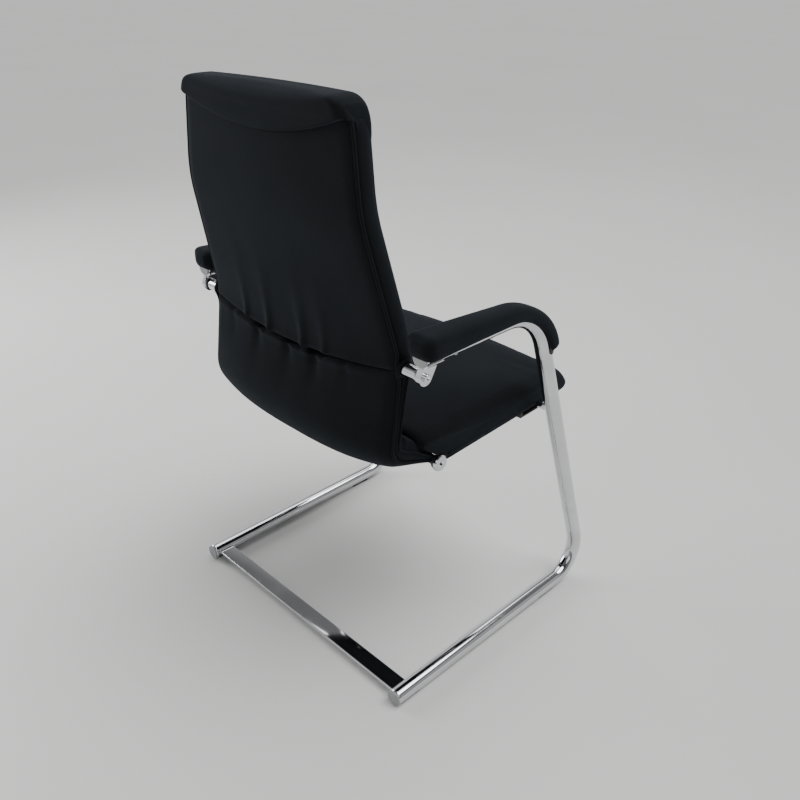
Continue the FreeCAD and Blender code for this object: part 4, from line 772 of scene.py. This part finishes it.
def lights():
    """A soft sun and three panels, all aimed at the chair's middle."""
    for name, kind, place, power, shape in (
            ("daylight", "SUN", (-1.4, -0.9, 4.0), 2.4, {"angle": 0.7}),
            ("window_light", "AREA", (-2.6, 2.2, 2.2), 13, {"size": 2.0}),
            ("side_window", "AREA", (2.8, 0.9, 1.5), 46, {"size": 1.5}),
            ("ceiling_light", "AREA", (0.8, -1.0, 3.0), 34, {"size": 2.2})):
        light = bpy.data.lights.new(name, kind)
        light.energy = power
        for setting, value in shape.items():
            setattr(light, setting, value)
        lamp = bpy.data.objects.new(name, light)
        lamp.location = place
        lamp.rotation_euler = (Vector((0, 0, 0.5)) - Vector(place)).to_track_quat("-Z", "Y").to_euler()
        bpy.context.scene.collection.objects.link(lamp)


def room():
    """Surroundings that are bright at eye level, darker overhead and darker towards the chair's right."""
    world = bpy.data.worlds.new("room")
    bpy.context.scene.world = world
    world.use_nodes = True
    nodes, links = world.node_tree.nodes, world.node_tree.links
    direction = nodes.new("ShaderNodeTexCoord").outputs["Generated"]
    height = nodes.new("ShaderNodeSeparateXYZ")
    links.new(direction, height.inputs[0])
    ramp = nodes.new("ShaderNodeValToRGB")
    for k, (place, tone) in enumerate(((0.0, 0.66), (0.12, 0.85), (0.35, 0.9), (0.62, 0.2))):
        stop = ramp.color_ramp.elements[k] if k < 2 else ramp.color_ramp.elements.new(place)
        stop.position, stop.color = place, (tone, tone, tone * 1.01, 1)
    links.new(height.outputs["Z"], ramp.inputs[0])
    toward = nodes.new("ShaderNodeVectorMath")
    toward.operation = "DOT_PRODUCT"
    toward.inputs[1].default_value = (-0.85, 0.3, 0.0)
    links.new(direction, toward.inputs[0])
    shade = nodes.new("ShaderNodeMapRange")
    for name, setting in (("From Min", 0.1), ("From Max", 0.7), ("To Min", 1.0), ("To Max", 0.3)):
        shade.inputs[name].default_value = setting
    links.new(toward.outputs["Value"], shade.inputs[0])
    shaded = nodes.new("ShaderNodeVectorMath")
    shaded.operation = "SCALE"
    links.new(ramp.outputs[0], shaded.inputs[0])
    links.new(shade.outputs[0], shaded.inputs["Scale"])
    links.new(shaded.outputs[0], nodes["Background"].inputs["Color"])
    nodes["Background"].inputs["Strength"].default_value = 0.95


def camera():
    """The photograph's view: from behind the chair's right side, looking down."""
    yaw, pitch, roll = (math.radians(angle) for angle in (133.44, 28.07, -0.92))
    ahead = Vector((math.sin(yaw) * math.cos(pitch), math.cos(yaw) * math.cos(pitch), -math.sin(pitch)))
    level = ahead.cross(Vector((0, 0, 1))).normalized()
    above = level.cross(ahead)
    right = level * math.cos(roll) + above * math.sin(roll)
    up = above * math.cos(roll) - level * math.sin(roll)
    lens = bpy.data.cameras.new("camera")
    focal_pixels, wide_pixels = 841.7, 800
    lens.sensor_width = 36
    lens.lens = focal_pixels / wide_pixels * 36
    seen = bpy.data.objects.new("camera", lens)
    turn = Matrix((right, up, -ahead)).transposed()
    seen.matrix_world = Matrix.Translation((-1.0250, 0.9403, 1.1254)) @ turn.to_4x4()
    bpy.context.scene.collection.objects.link(seen)
    bpy.context.scene.camera = seen


camera()
floor()
lights()
room()
dress_nodes()
chromed_frame()
front_cushion()
rear_cover("rear_panel_upper", "rear_cover_upper", upper=True)
rear_cover("rear_panel_lower", "rear_cover_lower", upper=False)
head_roll()
back_piping()
seat_cushion()
seat_piping()
for side, sign in SIDES:
    arm_pad(side, sign)
